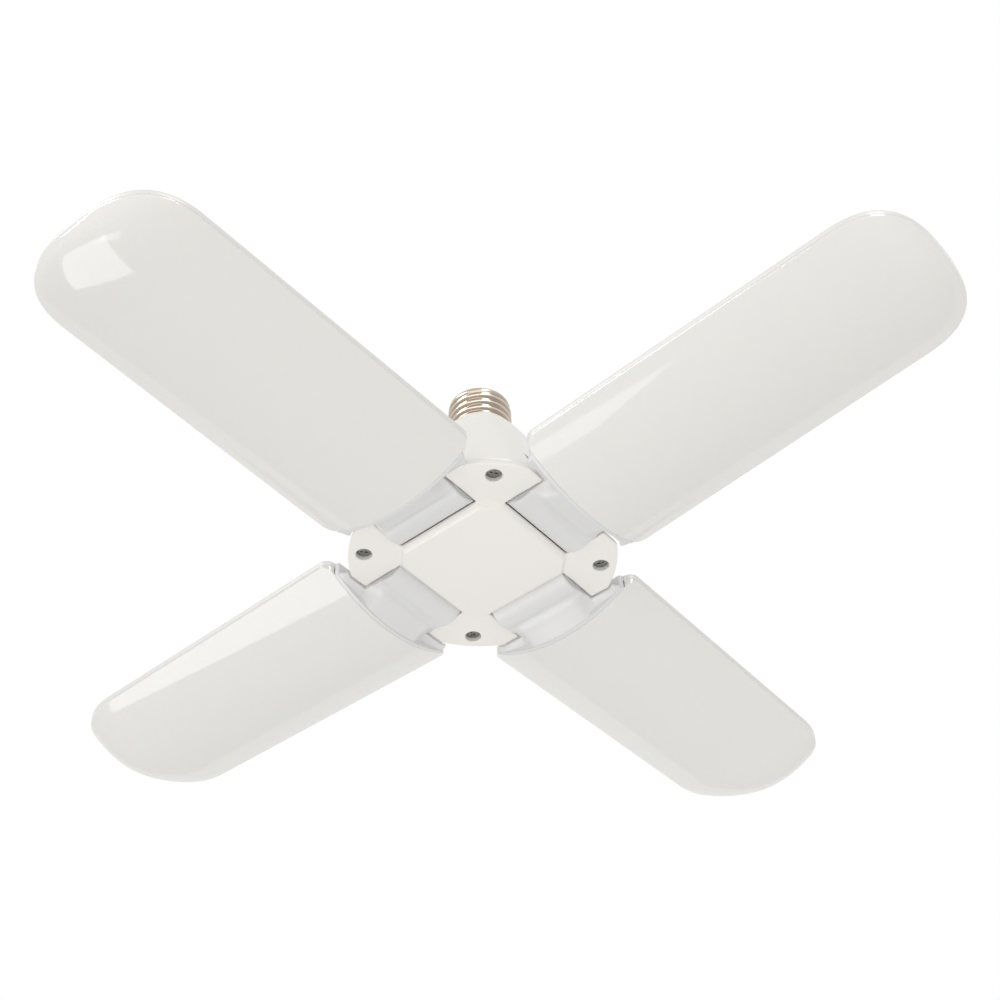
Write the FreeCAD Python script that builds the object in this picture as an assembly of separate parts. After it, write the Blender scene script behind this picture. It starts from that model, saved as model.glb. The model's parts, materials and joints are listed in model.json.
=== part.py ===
"""Folding four-blade garage light: a screw cap, a conical hub with four lobes, and four LED blades on hinges.

Frame: millimetres, +Z up. The origin is the tip of the centre contact, where the lamp meets its holder, so the
whole lamp hangs below z = 0. The hub's screws lie on the X and Y axes, and the blades on the diagonals.

The hub is built by height h above the lobes' lower face. A blade is built level in its arm frame: u runs outwards
from the lamp's axis, v across the blade, h up. It is then tilted about its hinge, and turned to its diagonal.
"""
import FreeCAD, Part
import math
import os
from FreeCAD import Placement, Rotation, Vector

# ---------------------------------------------------------------- driving dimensions, hub
cap_height = 26.0             # contact tip to the housing's rim
body_height = 66.5            # housing's rim to the lobes' lower face
lobe_reach = 18.6             # middle of a lobe's outer edge, at its lower face, past the hinge axes' radius
flat_reach = 11.2             # flats of the skirt that face the blades, at their lower edge, past the hinge
skirt_taper = 22.3            # degrees from the vertical
shoulder_taper = 44.0         # degrees from the vertical
shoulder_round = 18.0
rim_radius = 15.6             # top of the housing, round the screw cap
housing_wall = 2.5
roof_extra = 0.5              # roof under the cap, thicker than the wall
seam_height = 4.0             # where the cover meets the housing

# screw cap, of the common 26 mm lamp size
shell_crest_radius = 13.1
thread_depth = 0.9
thread_pitch = 3.629          # seven threads to the inch
thread_fade_turns = 0.67      # thread's run-out at each end
shell_sheet = 0.35
shell_height = 18.5           # from the housing's rim to the shell's upper lip
shell_lip_height = 1.3
shell_lip_radius = 10.9
contact_radius = 4.8
contact_height = 1.5
contact_flat_radius = 3.2
rivet_radius = 1.3
rivet_stub = 0.6              # rivet below the insulator
insulator_flange = 1.8        # thickness of the disc that the shell's lip holds down
spigot_height = 14.0
spigot_bore_radius = 9.3
cap_fit = 0.1                 # clearance between shell, spigot and insulator

# hinge slots and lobes
slot_half_width = 18.4
slot_height = 20.0
slot_ceiling = 2.5
cheek_thickness = 3.5         # lobe wall that carries a hinge pin
drum_half_width = 22.0        # square opening inside the four slots

# bottom cover
plate_overhang = 2.0          # raised plate past the slots' inner wall, at the lobes' lower face
plate_bevel = 2.0             # slope of the raised plate's sides
plate_rise = 1.8              # how far the plate stands below the lobes
plate_corner_reach = 5.3      # where the plate's corners are cut, past its sides
cover_wall = 3.0
cover_rim_height = 2.0        # rim that enters the drum
cover_rim_wall = 1.4
cover_fit = 0.2

# cover screws
cover_screw_inset = 6.2       # inside the lobes' outer edge
cover_screw_radius = 1.5
cover_screw_length = 7.0
cover_head_radius = 3.1
cover_head_height = 1.6
cover_head_depth = 0.8        # sunk below the lobe's face
cover_bore_radius = 3.5
screw_boss_wall = 2.2
screw_fit = 0.05
screw_hole_extra = 1.0        # a blind hole is this much deeper than its screw
recess_width = 0.9
recess_span = 3.4
recess_depth = 0.9

# ---------------------------------------------------------------- driving dimensions, hinges
hinge_radius = 33.0           # hinge axis from the lamp's axis
hinge_height = 6.0            # hinge axis above the lobes' lower face
barrel_radius = 8.4
barrel_gap = 0.4              # running gap between barrel and cover
washer_thickness = 0.6
washer_radius = 7.0
washer_gap = 0.05             # on each side of a washer
pin_radius = 3.0
pin_bore_radius = 1.5
pin_fit = 0.05
pin_reach = 8.0               # pin inside the barrel
pin_head_radius = 4.5
pin_head_height = 1.2
barrel_cavity_radius = 5.0
barrel_cavity_gap = 1.0       # pin end to the cavity's far wall, along the axis
stop_angle = 64.0             # arm's stop shoulder below the level, seen from the hinge
stop_reach = 12.6             # shoulder's foot, from the hinge

# rest tilt of each blade's tip above the level, in degrees, and the blade's diagonal
rest_tilts = {"front_left": 0.0, "front_right": 5.0, "rear_left": 0.0, "rear_right": 1.0}
azimuths = {"front_left": -135.0, "front_right": -45.0, "rear_left": 135.0, "rear_right": 45.0}

# ---------------------------------------------------------------- driving dimensions, blades
blade_reach = 202.5           # lamp's axis to the blade's tip
blade_gap = 15.5              # hinge axis to the diffuser's straight end
tip_length = 28.6
tip_power = 2.7               # superellipse of the tip's outline
half_width_start = 35.3
half_width_tip = 33.6
corner_radius = 4.0
rim_height = 4.0              # diffuser's rim, above the lobes' lower face
diffuser_wall = 1.6
diffuser_lip = 1.2            # straight part of the rim, before the arch starts
arch_start = 11.2             # rise of the arch at the hub end
arch_tip = 8.6                # rise of the arch where the tip starts
snap_lip_height = 0.9
snap_lip_wall = 1.0
snap_fit = 0.15
snap_lip_start = 5.0          # first part of the rim that has no snap lip
back_thickness = 1.5
back_rim_wall = 1.2
back_rim_depth = 1.0
rib_height = 1.2
rib_width = 2.0
rib_spacing = 12.0
rib_count = 4
rib_inset = 15.5              # ribs from the blade's hub end
rib_tip_gap = 19.75           # ribs from the blade's tip

# hinge arm's end inside the blade
cap_lead_in = 2.2             # arm's end cap in front of the diffuser
cap_thickness = 5.0
cap_clearance = 0.25
tongue_reach = 11.5           # inside the blade
tongue_half_width = 22.0
tongue_depth = 6.0
web_rise = 1.4                # web's outer end above the hinge axis
web_step = 0.5                # web's top below the barrel's
arm_screw_inset = 5.5         # from the blade's hub end
arm_screw_v = 12.0
arm_screw_radius = 1.5
arm_screw_length = 5.5        # below the back's underside
arm_head_radius = 2.8
arm_head_height = 1.8

# LED board
board_thickness = 1.0
board_arm_gap = 1.5           # board to the arm's tongue
board_tip_gap = 15.75         # board to the blade's tip
board_side_gap = 9.6          # board to the blade's side, where the tip starts
board_corner = 8.0
led_length = 3.5
led_width = 2.8
led_height = 0.8
led_rows = 4
led_columns = 13
led_side_margin = 7.5         # outer rows from the board's sides
led_start_margin = 12.5       # first column from the board's hub end
led_end_margin = 6.0          # last column from the board's other end
board_screw_columns = (0, 5, 10)   # each screw lies just past one of these columns
board_screw_radius = 1.25
board_head_radius = 2.4
board_head_height = 1.4

# leads
lead_radius = 1.2
lead_channel_gap = 0.25
lead_bend = 3.0
lead_gap = 0.3                # hub lead to blade lead, inside the barrel
lead_seat = 0.1               # lead to the board that it lies on
blade_lead_inset = 7.5        # under the LED board
blade_lead_dip = 3.0          # lead comes down this far past the barrel
lead_corner_gap = 0.5         # past the corner between two slots
lead_rise = 1.1               # over the driver board's corner
hub_pad_inset = 2.0           # pad from the driver board's side
hub_pad_offset = 9.0
cap_lead_radius = 0.6

# ---------------------------------------------------------------- driving dimensions, driver
driver_clearance = 1.5        # driver board inside the drum
driver_thickness = 1.6
driver_height = 23.0          # board's underside above the lobes' lower face
driver_boss_inset = 5.0       # from the driver board's sides
driver_boss_radius = 3.2
driver_screw_radius = 1.25
driver_screw_length = 6.0
driver_head_radius = 2.4
driver_head_height = 1.5
capacitor_radius = 5.0
capacitor_height = 20.0
capacitor_edge = 0.6
capacitor_place = (-9.0, 2.0)
inductor_radius = 6.0
inductor_core_radius = 3.0
inductor_flange = 1.5
inductor_height = 10.0
winding_inset = 0.5
inductor_place = (8.0, 7.0)
film_size = (12.0, 5.0, 10.0)
film_place = (7.0, -11.5)
bridge_size = (8.0, 6.5, 2.5)
bridge_place = (-8.0, -10.0)
chip_size = (5.0, 4.0, 1.6)
chip_place = (0.0, 14.0)
fuse_radius = 1.9
fuse_length = 10.0
fuse_place = (14.5, -2.0)
varistor_radius = 4.2
varistor_thickness = 3.4
varistor_place = (2.0, -3.5)
live_pad_place = (-14.0, -13.0)
neutral_pad_place = (-4.0, -15.5)
lead_drop_height = 34.0       # above the driver board, where the cap's leads leave the neck
lead_turn_height = 20.0       # above the driver board, where they turn down to their pads
neutral_inset = 2.5           # neutral lead inside the spigot's bore
neutral_gap = 0.3             # neutral lead's end to the shell

# ---------------------------------------------------------------- worked out from them
lobe_face_z = -(cap_height + body_height)
slope = math.tan(math.radians(skirt_taper))
shoulder_slope = math.tan(math.radians(shoulder_taper))
barrel_half_length = slot_half_width - washer_thickness - 2 * washer_gap
slot_inner = hinge_radius - barrel_radius - barrel_gap
skirt_radius = hinge_radius + lobe_reach
flat_apothem = hinge_radius + flat_reach
plate_apothem = slot_inner + plate_overhang
plate_corner = plate_apothem + plate_corner_reach
cover_screw_circle = skirt_radius - cover_screw_inset
blade_start = hinge_radius + blade_gap
cap_start = blade_start - cap_lead_in
tongue_end = blade_start + tongue_reach
web_top_height = hinge_height + web_rise
arm_screw_u = blade_start + arm_screw_inset
board_start = tongue_end + board_arm_gap
board_end = blade_reach - board_tip_gap
board_half_width = half_width_tip - board_side_gap
led_first_u = board_start + led_start_margin
led_column_spacing = (board_end - led_end_margin - led_first_u) / (led_columns - 1)
led_row_spacing = 2 * (board_half_width - led_side_margin) / (led_rows - 1)
driver_half_width = drum_half_width - driver_clearance
driver_boss_place = driver_half_width - driver_boss_inset
hub_pad_place = (driver_half_width - hub_pad_inset, hub_pad_offset)
back_underside = rim_height + back_rim_depth
back_top = back_underside + back_thickness
tip_start = blade_reach - tip_length
pad_end = slot_half_width + cheek_thickness
pin_start = barrel_half_length - pin_reach
cavity_half_length = pin_start - barrel_cavity_gap
driver_top = driver_height + driver_thickness
shell_top = body_height + shell_height
spigot_top = body_height + spigot_height
rivet_end = shell_top - shell_lip_height - insulator_flange - rivet_stub
spigot_radius = shell_crest_radius - thread_depth - shell_sheet - cap_fit
beyond = blade_reach          # past every piece, for cutting tools
past = barrel_gap             # past a face, for cutting tools
diagonals = [45.0 + 90.0 * quarter for quarter in range(4)]


# ---------------------------------------------------------------- small helpers
def box(u0, u1, v0, v1, h0, h1):
    """Block between two corners."""
    return Part.makeBox(u1 - u0, v1 - v0, h1 - h0, Vector(u0, v0, h0))


def post(radius, u, v, h0, h1):
    """Upright cylinder from height h0 to h1."""
    return Part.makeCylinder(radius, h1 - h0, Vector(u, v, h0))


def hinge_rod(radius, v0, v1):
    """Cylinder on the hinge axis from v0 to v1."""
    return Part.makeCylinder(radius, v1 - v0, Vector(hinge_radius, v0, hinge_height), Vector(0, 1, 0))


def polygon(points):
    """Closed wire through points."""
    return Part.makePolygon(list(points) + [points[0]])


def turned(shape, angle):
    """Copy of a shape, turned about the lamp's axis."""
    return shape.rotated(Vector(0, 0, 0), Vector(0, 0, 1), angle)


def on_all_sides(shape):
    """The four copies of an arm-frame shape, one on each diagonal."""
    return [turned(shape, angle) for angle in diagonals]


def both_ends(shape):
    """A shape at the barrel's +v end, and its mirror image at the other end."""
    return [shape, shape.mirror(Vector(0, 0, 0), Vector(0, 1, 0))]


def merged(shapes):
    """One solid out of touching or overlapping ones."""
    return shapes[0].multiFuse(shapes[1:]).removeSplitter() if len(shapes) > 1 else shapes[0]


def route(points, bend):
    """Path of straight runs, joined by tangent arcs of one radius."""
    corners = [Vector(*point) for point in points]
    edges = []
    start = corners[0]
    for before, corner, after in zip(corners, corners[1:], corners[2:]):
        into = (corner - before).normalize()
        away = (after - corner).normalize()
        turn = into.getAngle(away)
        setback = bend * math.tan(turn / 2)
        arc_start = corner - into * setback
        arc_end = corner + away * setback
        middle = corner + (away - into).normalize() * (bend / math.cos(turn / 2) - bend)
        edges.append(Part.makeLine(start, arc_start))
        edges.append(Part.Arc(arc_start, middle, arc_end).toShape())
        start = arc_end
    edges.append(Part.makeLine(start, corners[-1]))
    return Part.Wire(edges)


def lead(points, radius, bend):
    """Round wire along a route."""
    path = route(points, bend)
    start = Vector(*points[0])
    profile = Part.Wire(Part.makeCircle(radius, start, Vector(*points[1]) - start))
    return path.makePipeShell([profile], True, True)


# ---------------------------------------------------------------- hub
def skirt_at(height, inset):
    """Radius of the skirt's cone at a height, moved inwards by a wall."""
    return skirt_radius - height * slope - inset / math.cos(math.radians(skirt_taper))


def shoulder_at(height, inset):
    """Radius of the shoulder's cone at a height, moved inwards by a wall."""
    return rim_radius + (body_height - height) * shoulder_slope - inset / math.cos(math.radians(shoulder_taper))


def hub_form(inset, bottom, top):
    """Skirt and shoulder of the hub, with the four flats that face the blades."""
    spread = shoulder_at(0, inset) - skirt_at(0, inset)
    shoulder_height = spread / (shoulder_slope - slope)
    outline = [Vector(0, 0, bottom), Vector(skirt_at(bottom, inset), 0, bottom)]
    if top > shoulder_height:
        outline.append(Vector(skirt_at(shoulder_height, inset), 0, shoulder_height))
        outline.append(Vector(shoulder_at(top, inset), 0, top))
    else:
        outline.append(Vector(skirt_at(top, inset), 0, top))
    outline.append(Vector(0, 0, top))
    form = Part.Face(polygon(outline)).revolve(Vector(0, 0, 0), Vector(0, 0, 1), 360)
    if top > shoulder_height:
        shoulder = [edge for edge in form.Edges
                    if isinstance(edge.Curve, Part.Circle) and abs(edge.Curve.Center.z - shoulder_height) < 0.01]
        form = form.makeFillet(shoulder_round - inset, shoulder)
    squares = []
    for height in (bottom, top):
        apothem = flat_apothem - height * slope - inset / math.cos(math.radians(skirt_taper))
        corners = [turned(Part.Vertex(apothem, apothem, height), angle).Point for angle in diagonals]
        squares.append(polygon(corners))
    return form.common(Part.makeLoft(squares, True, True))


def hinge_slot():
    """Space of one hinge arm between two lobes."""
    return box(slot_inner, beyond, -slot_half_width, slot_half_width, -beyond, slot_height)


def pin_cradles(radius):
    """Seats of a slot's two hinge pins, open downwards to the seam."""
    cradles = []
    for v0, v1 in ((-pad_end - past, past - slot_half_width), (slot_half_width - past, pad_end + past)):
        cradles.append(hinge_rod(radius, v0, v1))
        mouth = (hinge_radius - radius, hinge_radius + radius)
        cradles.append(box(*mouth, v0, v1, seam_height - past, hinge_height))
    return merged(cradles[:2]), merged(cradles[2:])


def lobe_places(radius):
    """The four places on the X and Y axes, at one radius."""
    return [(radius * math.cos(math.radians(a)), radius * math.sin(math.radians(a))) for a in (0, 90, 180, 270)]


def driver_boss_places():
    """Two opposite corners of the driver board."""
    spot = Vector(driver_boss_place, driver_boss_place, 0)
    return [Rotation(Vector(0, 0, 1), angle).multVec(spot) for angle in (45.0, 225.0)]


def neck_housing():
    """Conical white body: carries the cap, the driver and the hinge pins."""
    outer = hub_form(0, seam_height, body_height)
    room = hub_form(housing_wall, seam_height - past, body_height - housing_wall - roof_extra)
    casing = box(drum_half_width, beyond, -pad_end, pad_end, -beyond, slot_height + slot_ceiling)
    for side in on_all_sides(casing):
        room = room.cut(side)
    body = outer.cut(room)
    for side in on_all_sides(hinge_slot()):
        body = body.cut(side)
    bosses = [post(cover_screw_radius + screw_boss_wall, x, y, seam_height, slot_height)
              for x, y in lobe_places(cover_screw_circle)]
    bosses += [post(driver_boss_radius, spot.x, spot.y, driver_top, body_height)
               for spot in driver_boss_places()]
    body = merged([body] + [boss.common(outer) for boss in bosses])
    body = merged([body, post(spigot_radius, 0, 0, body_height - housing_wall, spigot_top)])
    body = body.cut(post(spigot_bore_radius, 0, 0, body_height - 2 * housing_wall, spigot_top + past))
    for cradle in pin_cradles(pin_radius + pin_fit):
        for side in on_all_sides(cradle):
            body = body.cut(side)
    for x, y in lobe_places(cover_screw_circle):
        hole_top = cover_head_depth + cover_head_height + cover_screw_length + screw_hole_extra
        body = body.cut(post(cover_screw_radius + screw_fit, x, y, 0, hole_top))
    for spot in driver_boss_places():
        hole_top = driver_height + driver_screw_length + screw_hole_extra
        body = body.cut(post(driver_screw_radius + screw_fit, spot.x, spot.y, driver_height, hole_top))
    return body


def plate_outline(apothem, corner, height):
    """Square on the diagonals with its corners cut, as a wire."""
    cut = apothem * math.sqrt(2) - corner
    points = []
    for angle in (0, 90, 180, 270):
        for side in (-1, 1):
            point = Vector(corner, side * cut, height)
            points.append(Rotation(Vector(0, 0, 1), angle).multVec(point))
    return polygon(points)


def bottom_cover():
    """Raised square plate with a screwed lobe face at each corner."""
    slot = box(plate_apothem, beyond, -slot_half_width, slot_half_width, -beyond, beyond)
    body = hub_form(0, 0, seam_height)
    for side in on_all_sides(slot):
        body = body.cut(side)
    plate = Part.makeLoft([plate_outline(plate_apothem, plate_corner, 0),
                           plate_outline(plate_apothem - plate_bevel, plate_corner - plate_bevel / 2,
                                         -plate_rise)], True, True)
    body = merged([body, plate])
    rim_outer = drum_half_width - cover_fit
    rim_inner = rim_outer - cover_rim_wall
    recess_floor = cover_wall - plate_rise
    rim_top = seam_height + cover_rim_height
    rim = box(-rim_outer, rim_outer, -rim_outer, rim_outer, recess_floor, rim_top)
    recess = box(-rim_inner, rim_inner, -rim_inner, rim_inner, recess_floor, rim_top + past)
    body = merged([body, turned(rim, 45)]).cut(turned(recess, 45))
    relief = hinge_rod(barrel_radius + barrel_gap, -slot_half_width, slot_half_width)
    for side in on_all_sides(relief):
        body = body.cut(side)
    for cradle in pin_cradles(pin_radius + pin_fit):
        for side in on_all_sides(cradle):
            body = body.cut(side)
    head_room = hinge_rod(pin_head_radius + cover_fit, pad_end, pad_end + pin_head_height + 2 * cover_fit)
    for end in both_ends(head_room):
        for side in on_all_sides(end):
            body = body.cut(side)
    for x, y in lobe_places(cover_screw_circle):
        head_seat = cover_head_depth + cover_head_height
        body = body.cut(post(cover_bore_radius, x, y, -past, head_seat))
        body = body.cut(post(cover_screw_radius + screw_fit, x, y, 0, seam_height + past))
    return body


def cross_recess(x, y, height, up):
    """Cross-shaped recess in a screw's head, cut from height towards up."""
    low, high = sorted((height - up, height + up * recess_depth))
    half = recess_width / 2
    reach = recess_span / 2
    bars = [box(x - reach, x + reach, y - half, y + half, low, high),
            box(x - half, x + half, y - reach, y + reach, low, high)]
    return merged(bars)


def cover_screws():
    """Four screws that hold the cover, their heads sunk in the lobes."""
    screws = []
    for x, y in lobe_places(cover_screw_circle):
        head_top = cover_head_depth + cover_head_height
        head = post(cover_head_radius, x, y, cover_head_depth, head_top)
        shank = post(cover_screw_radius, x, y, head_top, head_top + cover_screw_length)
        screws.append(merged([head, shank]).cut(cross_recess(x, y, cover_head_depth, 1)))
    return screws


# ---------------------------------------------------------------- screw cap
def thread_form():
    """Rounded thread: circles whose centres wind round the axis, faded out at both ends."""
    mean_radius = shell_crest_radius - thread_depth / 2
    steps_per_turn = 16
    fade_steps = steps_per_turn * thread_fade_turns
    threaded = shell_height - shell_lip_height
    steps = int(threaded / thread_pitch * steps_per_turn)
    circles = []
    for step in range(steps + 1):
        share = step / steps
        angle = 2 * math.pi * step / steps_per_turn
        fade = min(1.0, step / fade_steps, (steps - step) / fade_steps)
        offset = thread_depth / 2 * fade
        centre = Vector(offset * math.cos(angle), offset * math.sin(angle), body_height + threaded * share)
        circles.append(Part.Wire(Part.makeCircle(mean_radius, centre)))
    return Part.makeLoft(circles, True, True)


def screw_shell():
    """Threaded sheet-metal shell with its upper edge rolled in over the insulator."""
    mean_radius = shell_crest_radius - thread_depth / 2
    lip_base = shell_top - shell_lip_height
    lip = Part.makeCone(mean_radius, shell_lip_radius + shell_sheet, shell_lip_height, Vector(0, 0, lip_base))
    bore = post(spigot_radius + cap_fit, 0, 0, body_height - past, shell_top - shell_lip_height)
    mouth = post(shell_lip_radius, 0, 0, body_height, shell_top + past)
    return merged([thread_form(), lip]).cut(bore).cut(mouth)


def cap_insulator():
    """Insulating disc and cone between the shell and the centre contact."""
    base = shell_top - shell_lip_height
    flange = post(spigot_radius, 0, 0, base - insulator_flange, base - cap_fit)
    plug = post(shell_lip_radius - cap_fit, 0, 0, base - insulator_flange, shell_top)
    cone_height = cap_height + body_height - contact_height - shell_top
    cone = Part.makeCone(shell_lip_radius - cap_fit, contact_radius, cone_height, Vector(0, 0, shell_top))
    hole = post(rivet_radius + cap_fit, 0, 0, body_height, beyond)
    return merged([flange, plug, cone]).cut(hole)


def centre_contact():
    """Contact button with a flat tip, and its rivet through the insulator."""
    tip = cap_height + body_height
    seat = Vector(0, 0, tip - contact_height)
    button = Part.makeCone(contact_radius, contact_flat_radius, contact_height, seat)
    rivet = post(rivet_radius, 0, 0, rivet_end, tip - contact_height)
    return merged([button, rivet])


# ---------------------------------------------------------------- driver
def on_driver(place, size):
    """Block standing on the driver board."""
    half_u, half_v = size[0] / 2, size[1] / 2
    return box(place[0] - half_u, place[0] + half_u, place[1] - half_v, place[1] + half_v,
               driver_top, driver_top + size[2])


def driver_board():
    """Square board between the slots, with its corners towards the lobes."""
    half = driver_half_width
    board = turned(box(-half, half, -half, half, driver_height, driver_top), 45)
    for spot in driver_boss_places():
        hole = post(driver_screw_radius + screw_fit, spot.x, spot.y, driver_height - past, driver_top + past)
        board = board.cut(hole)
    return board


def driver_screws():
    """Two screws from below, into the housing's bosses."""
    screws = []
    for spot in driver_boss_places():
        head = post(driver_head_radius, spot.x, spot.y, driver_height - driver_head_height, driver_height)
        shank = post(driver_screw_radius, spot.x, spot.y, driver_height, driver_height + driver_screw_length)
        recess = cross_recess(spot.x, spot.y, driver_height - driver_head_height, 1)
        screws.append(merged([head, shank]).cut(recess))
    return screws


def bulk_capacitor():
    """Electrolytic can with a rounded top edge."""
    can = post(capacitor_radius, *capacitor_place, driver_top, driver_top + capacitor_height)
    top = [edge for edge in can.Edges if abs(edge.BoundBox.ZMin - can.BoundBox.ZMax) < 0.01]
    return can.makeFillet(capacitor_edge, top)


def inductor_core():
    """Ferrite bobbin: two flanges on a post."""
    low = post(inductor_radius, *inductor_place, driver_top, driver_top + inductor_flange)
    high = post(inductor_radius, *inductor_place, driver_top + inductor_height - inductor_flange,
                driver_top + inductor_height)
    stem = post(inductor_core_radius, *inductor_place, driver_top, driver_top + inductor_height)
    return merged([low, high, stem])


def inductor_winding():
    """Copper winding between the bobbin's flanges."""
    bottom = driver_top + inductor_flange + cap_fit
    top = driver_top + inductor_height - inductor_flange - cap_fit
    winding = post(inductor_radius - winding_inset, *inductor_place, bottom, top)
    return winding.cut(post(inductor_core_radius + cap_fit, *inductor_place, bottom - past, top + past))


def fuse_resistor():
    """Small barrel lying on the board."""
    u, v = fuse_place
    return Part.makeCylinder(fuse_radius, fuse_length, Vector(u, v - fuse_length / 2, driver_top + fuse_radius),
                             Vector(0, 1, 0))


def varistor():
    """Disc standing on its edge."""
    u, v = varistor_place
    return Part.makeCylinder(varistor_radius, varistor_thickness,
                             Vector(u - varistor_thickness / 2, v, driver_top + varistor_radius), Vector(1, 0, 0))


def live_lead():
    """Wire from the contact's rivet to the driver board."""
    u, v = live_pad_place
    points = [(0, 0, rivet_end), (0, 0, driver_top + lead_drop_height), (u, v, driver_top + lead_turn_height),
              (u, v, driver_top)]
    return lead(points, cap_lead_radius, lead_bend)


def neutral_lead():
    """Wire from the shell's inside, over the spigot's edge, to the driver board."""
    edge = spigot_radius + cap_fit - neutral_gap
    level = (spigot_top + shell_top - shell_lip_height - insulator_flange) / 2
    u, v = neutral_pad_place
    inner = spigot_bore_radius - neutral_inset
    points = [(0, -edge, level), (0, -inner, level), (0, -inner, driver_top + lead_drop_height),
              (u, v, driver_top + lead_turn_height), (u, v, driver_top)]
    return lead(points, cap_lead_radius, lead_bend / 2)


# ---------------------------------------------------------------- hinges
def hinge_pins():
    """Eight hollow stub pins, with their heads inside the lobes."""
    shaft = hinge_rod(pin_radius, pin_start, pad_end + pin_fit)
    head = hinge_rod(pin_head_radius, pad_end + pin_fit, pad_end + pin_fit + pin_head_height)
    pin = merged([shaft, head]).cut(hinge_rod(pin_bore_radius, 0, beyond))
    return [turned(end, angle) for end in both_ends(pin) for angle in diagonals]


def friction_washers():
    """Eight washers, one between each barrel end and its lobe."""
    washer = hinge_rod(washer_radius, barrel_half_length + washer_gap, slot_half_width - washer_gap)
    washer = washer.cut(hinge_rod(pin_radius + pin_fit, 0, beyond))
    return [turned(end, angle) for end in both_ends(washer) for angle in diagonals]


def hub_leads():
    """Four leads from the driver board through the lobes into the hollow pins."""
    start = (hinge_radius, pin_start - lead_gap / 2, hinge_height)
    lobe = pad_end + lead_bend + pin_head_height + 2 * cover_fit
    corner = pad_end + lead_radius + lead_corner_gap
    pad = driver_top + lead_radius + lead_seat
    points = [start, (hinge_radius, lobe, hinge_height), (corner, corner, pad + lead_rise),
              (*hub_pad_place, pad)]
    one = lead(points, lead_radius, lead_bend)
    return on_all_sides(one)


# ---------------------------------------------------------------- blade, level in the arm frame
def half_width_at(u):
    """Half the blade's width along its tapering part."""
    share = (u - blade_start) / (tip_start - blade_start)
    return half_width_start + (half_width_tip - half_width_start) * share


def arch_at(u):
    """Rise of the diffuser's arch along its tapering part."""
    return arch_start + (arch_tip - arch_start) * (u - blade_start) / (tip_start - blade_start)


def tip_point(angle, inset):
    """Point of the tip's superellipse, from the straight side (0) to the end (90 degrees)."""
    reach = (tip_length - inset) * math.sin(math.radians(angle)) ** (2 / tip_power)
    half = (half_width_tip - inset) * math.cos(math.radians(angle)) ** (2 / tip_power)
    return tip_start + reach, half


def blade_slab(inset, low, high):
    """Plan outline of the blade, moved inwards and given a thickness."""
    start = blade_start + inset
    radius = corner_radius
    side = half_width_start - inset
    angles = [0, 12, 24, 36, 48, 60, 72, 82, 90]
    near = [Vector(*tip_point(angle, inset), low) for angle in angles]
    far = [Vector(point.x, -point.y, low) for point in reversed(near[:-1])]
    tip = Part.BSplineCurve()
    tip.interpolate(Points=near + far, InitialTangent=Vector(1, 0, 0), FinalTangent=Vector(-1, 0, 0))
    bend = radius * (1 - math.sqrt(0.5))
    edges = [Part.makeLine(Vector(start + radius, side, low), near[0]),
             tip.toShape(),
             Part.makeLine(far[-1], Vector(start + radius, -side, low)),
             Part.Arc(Vector(start + radius, -side, low), Vector(start + bend, bend - side, low),
                      Vector(start, radius - side, low)).toShape(),
             Part.makeLine(Vector(start, radius - side, low), Vector(start, side - radius, low)),
             Part.Arc(Vector(start, side - radius, low), Vector(start + bend, side - bend, low),
                      Vector(start + radius, side, low)).toShape()]
    return Part.Face(Part.Wire(edges)).extrude(Vector(0, 0, high - low))


def square_corners():
    """What the blade's rounded corners at the hub end leave out."""
    corners = []
    for side in (-1, 1):
        v0, v1 = sorted((side * (half_width_start - corner_radius), side * (half_width_start + past)))
        block = box(blade_start - past, blade_start + corner_radius, v0, v1, -beyond, beyond)
        rounding = post(corner_radius, blade_start + corner_radius, side * (half_width_start - corner_radius),
                        -beyond, beyond)
        corners.append(block.cut(rounding))
    return corners


def arch_section(u, half, rise, top, lip_height):
    """Cross-section of the diffuser: straight rim, then an arch downwards."""
    corners = [Vector(u, half, top), Vector(u, half, lip_height), Vector(u, -half, lip_height),
               Vector(u, -half, top)]
    arch = Part.Arc(corners[1], Vector(u, 0, lip_height - rise), corners[2]).toShape()
    return Part.Wire([Part.makeLine(corners[0], corners[1]), arch, Part.makeLine(corners[2], corners[3]),
                      Part.makeLine(corners[3], corners[0])])


def arch_run(inset, start, top):
    """Tapering stretch of the space inside the arch, from start to the tip's rounding."""
    lip_height = rim_height - diffuser_lip
    ends = [arch_section(u, half_width_at(u) - inset, arch_at(u) - inset, top, lip_height)
            for u in (start, tip_start)]
    return Part.makeLoft(ends, True, True)


def arch_form(inset, start, top):
    """Solid under the arch, from start to the tip, moved inwards by a wall."""
    lip_height = rim_height - diffuser_lip
    rounded = []
    for angle in (0, 15, 30, 45, 60, 73, 86):
        u, half = tip_point(angle, inset)
        rise = (arch_tip - inset) * half / (half_width_tip - inset)
        rounded.append(arch_section(u, half, rise, top, lip_height))
    return merged([arch_run(inset, start, top), Part.makeLoft(rounded, True, False)])


def diffuser():
    """Milk-white arched cover, open at its hub end, with a snap lip inside the back's rim."""
    outer = arch_form(0, blade_start, rim_height)
    hollow = arch_form(diffuser_wall, blade_start - past, rim_height + past)
    shell = outer.cut(hollow)
    for corner in square_corners():
        shell = shell.cut(corner)
    lip_outer = back_rim_wall + snap_fit
    lip = blade_slab(lip_outer, rim_height - diffuser_lip, rim_height + snap_lip_height)
    lip_top = rim_height + snap_lip_height
    lip = lip.cut(blade_slab(lip_outer + snap_lip_wall, rim_height - 2 * diffuser_lip, lip_top + past))
    lip = lip.cut(box(0, blade_start + snap_lip_start, -beyond, beyond, -beyond, beyond))
    return merged([shell, lip])


def board_screw_places():
    """Places of an LED board's screws on the blade's centre line."""
    return [(led_first_u + (column + 0.5) * led_column_spacing, 0.0) for column in board_screw_columns]


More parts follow.
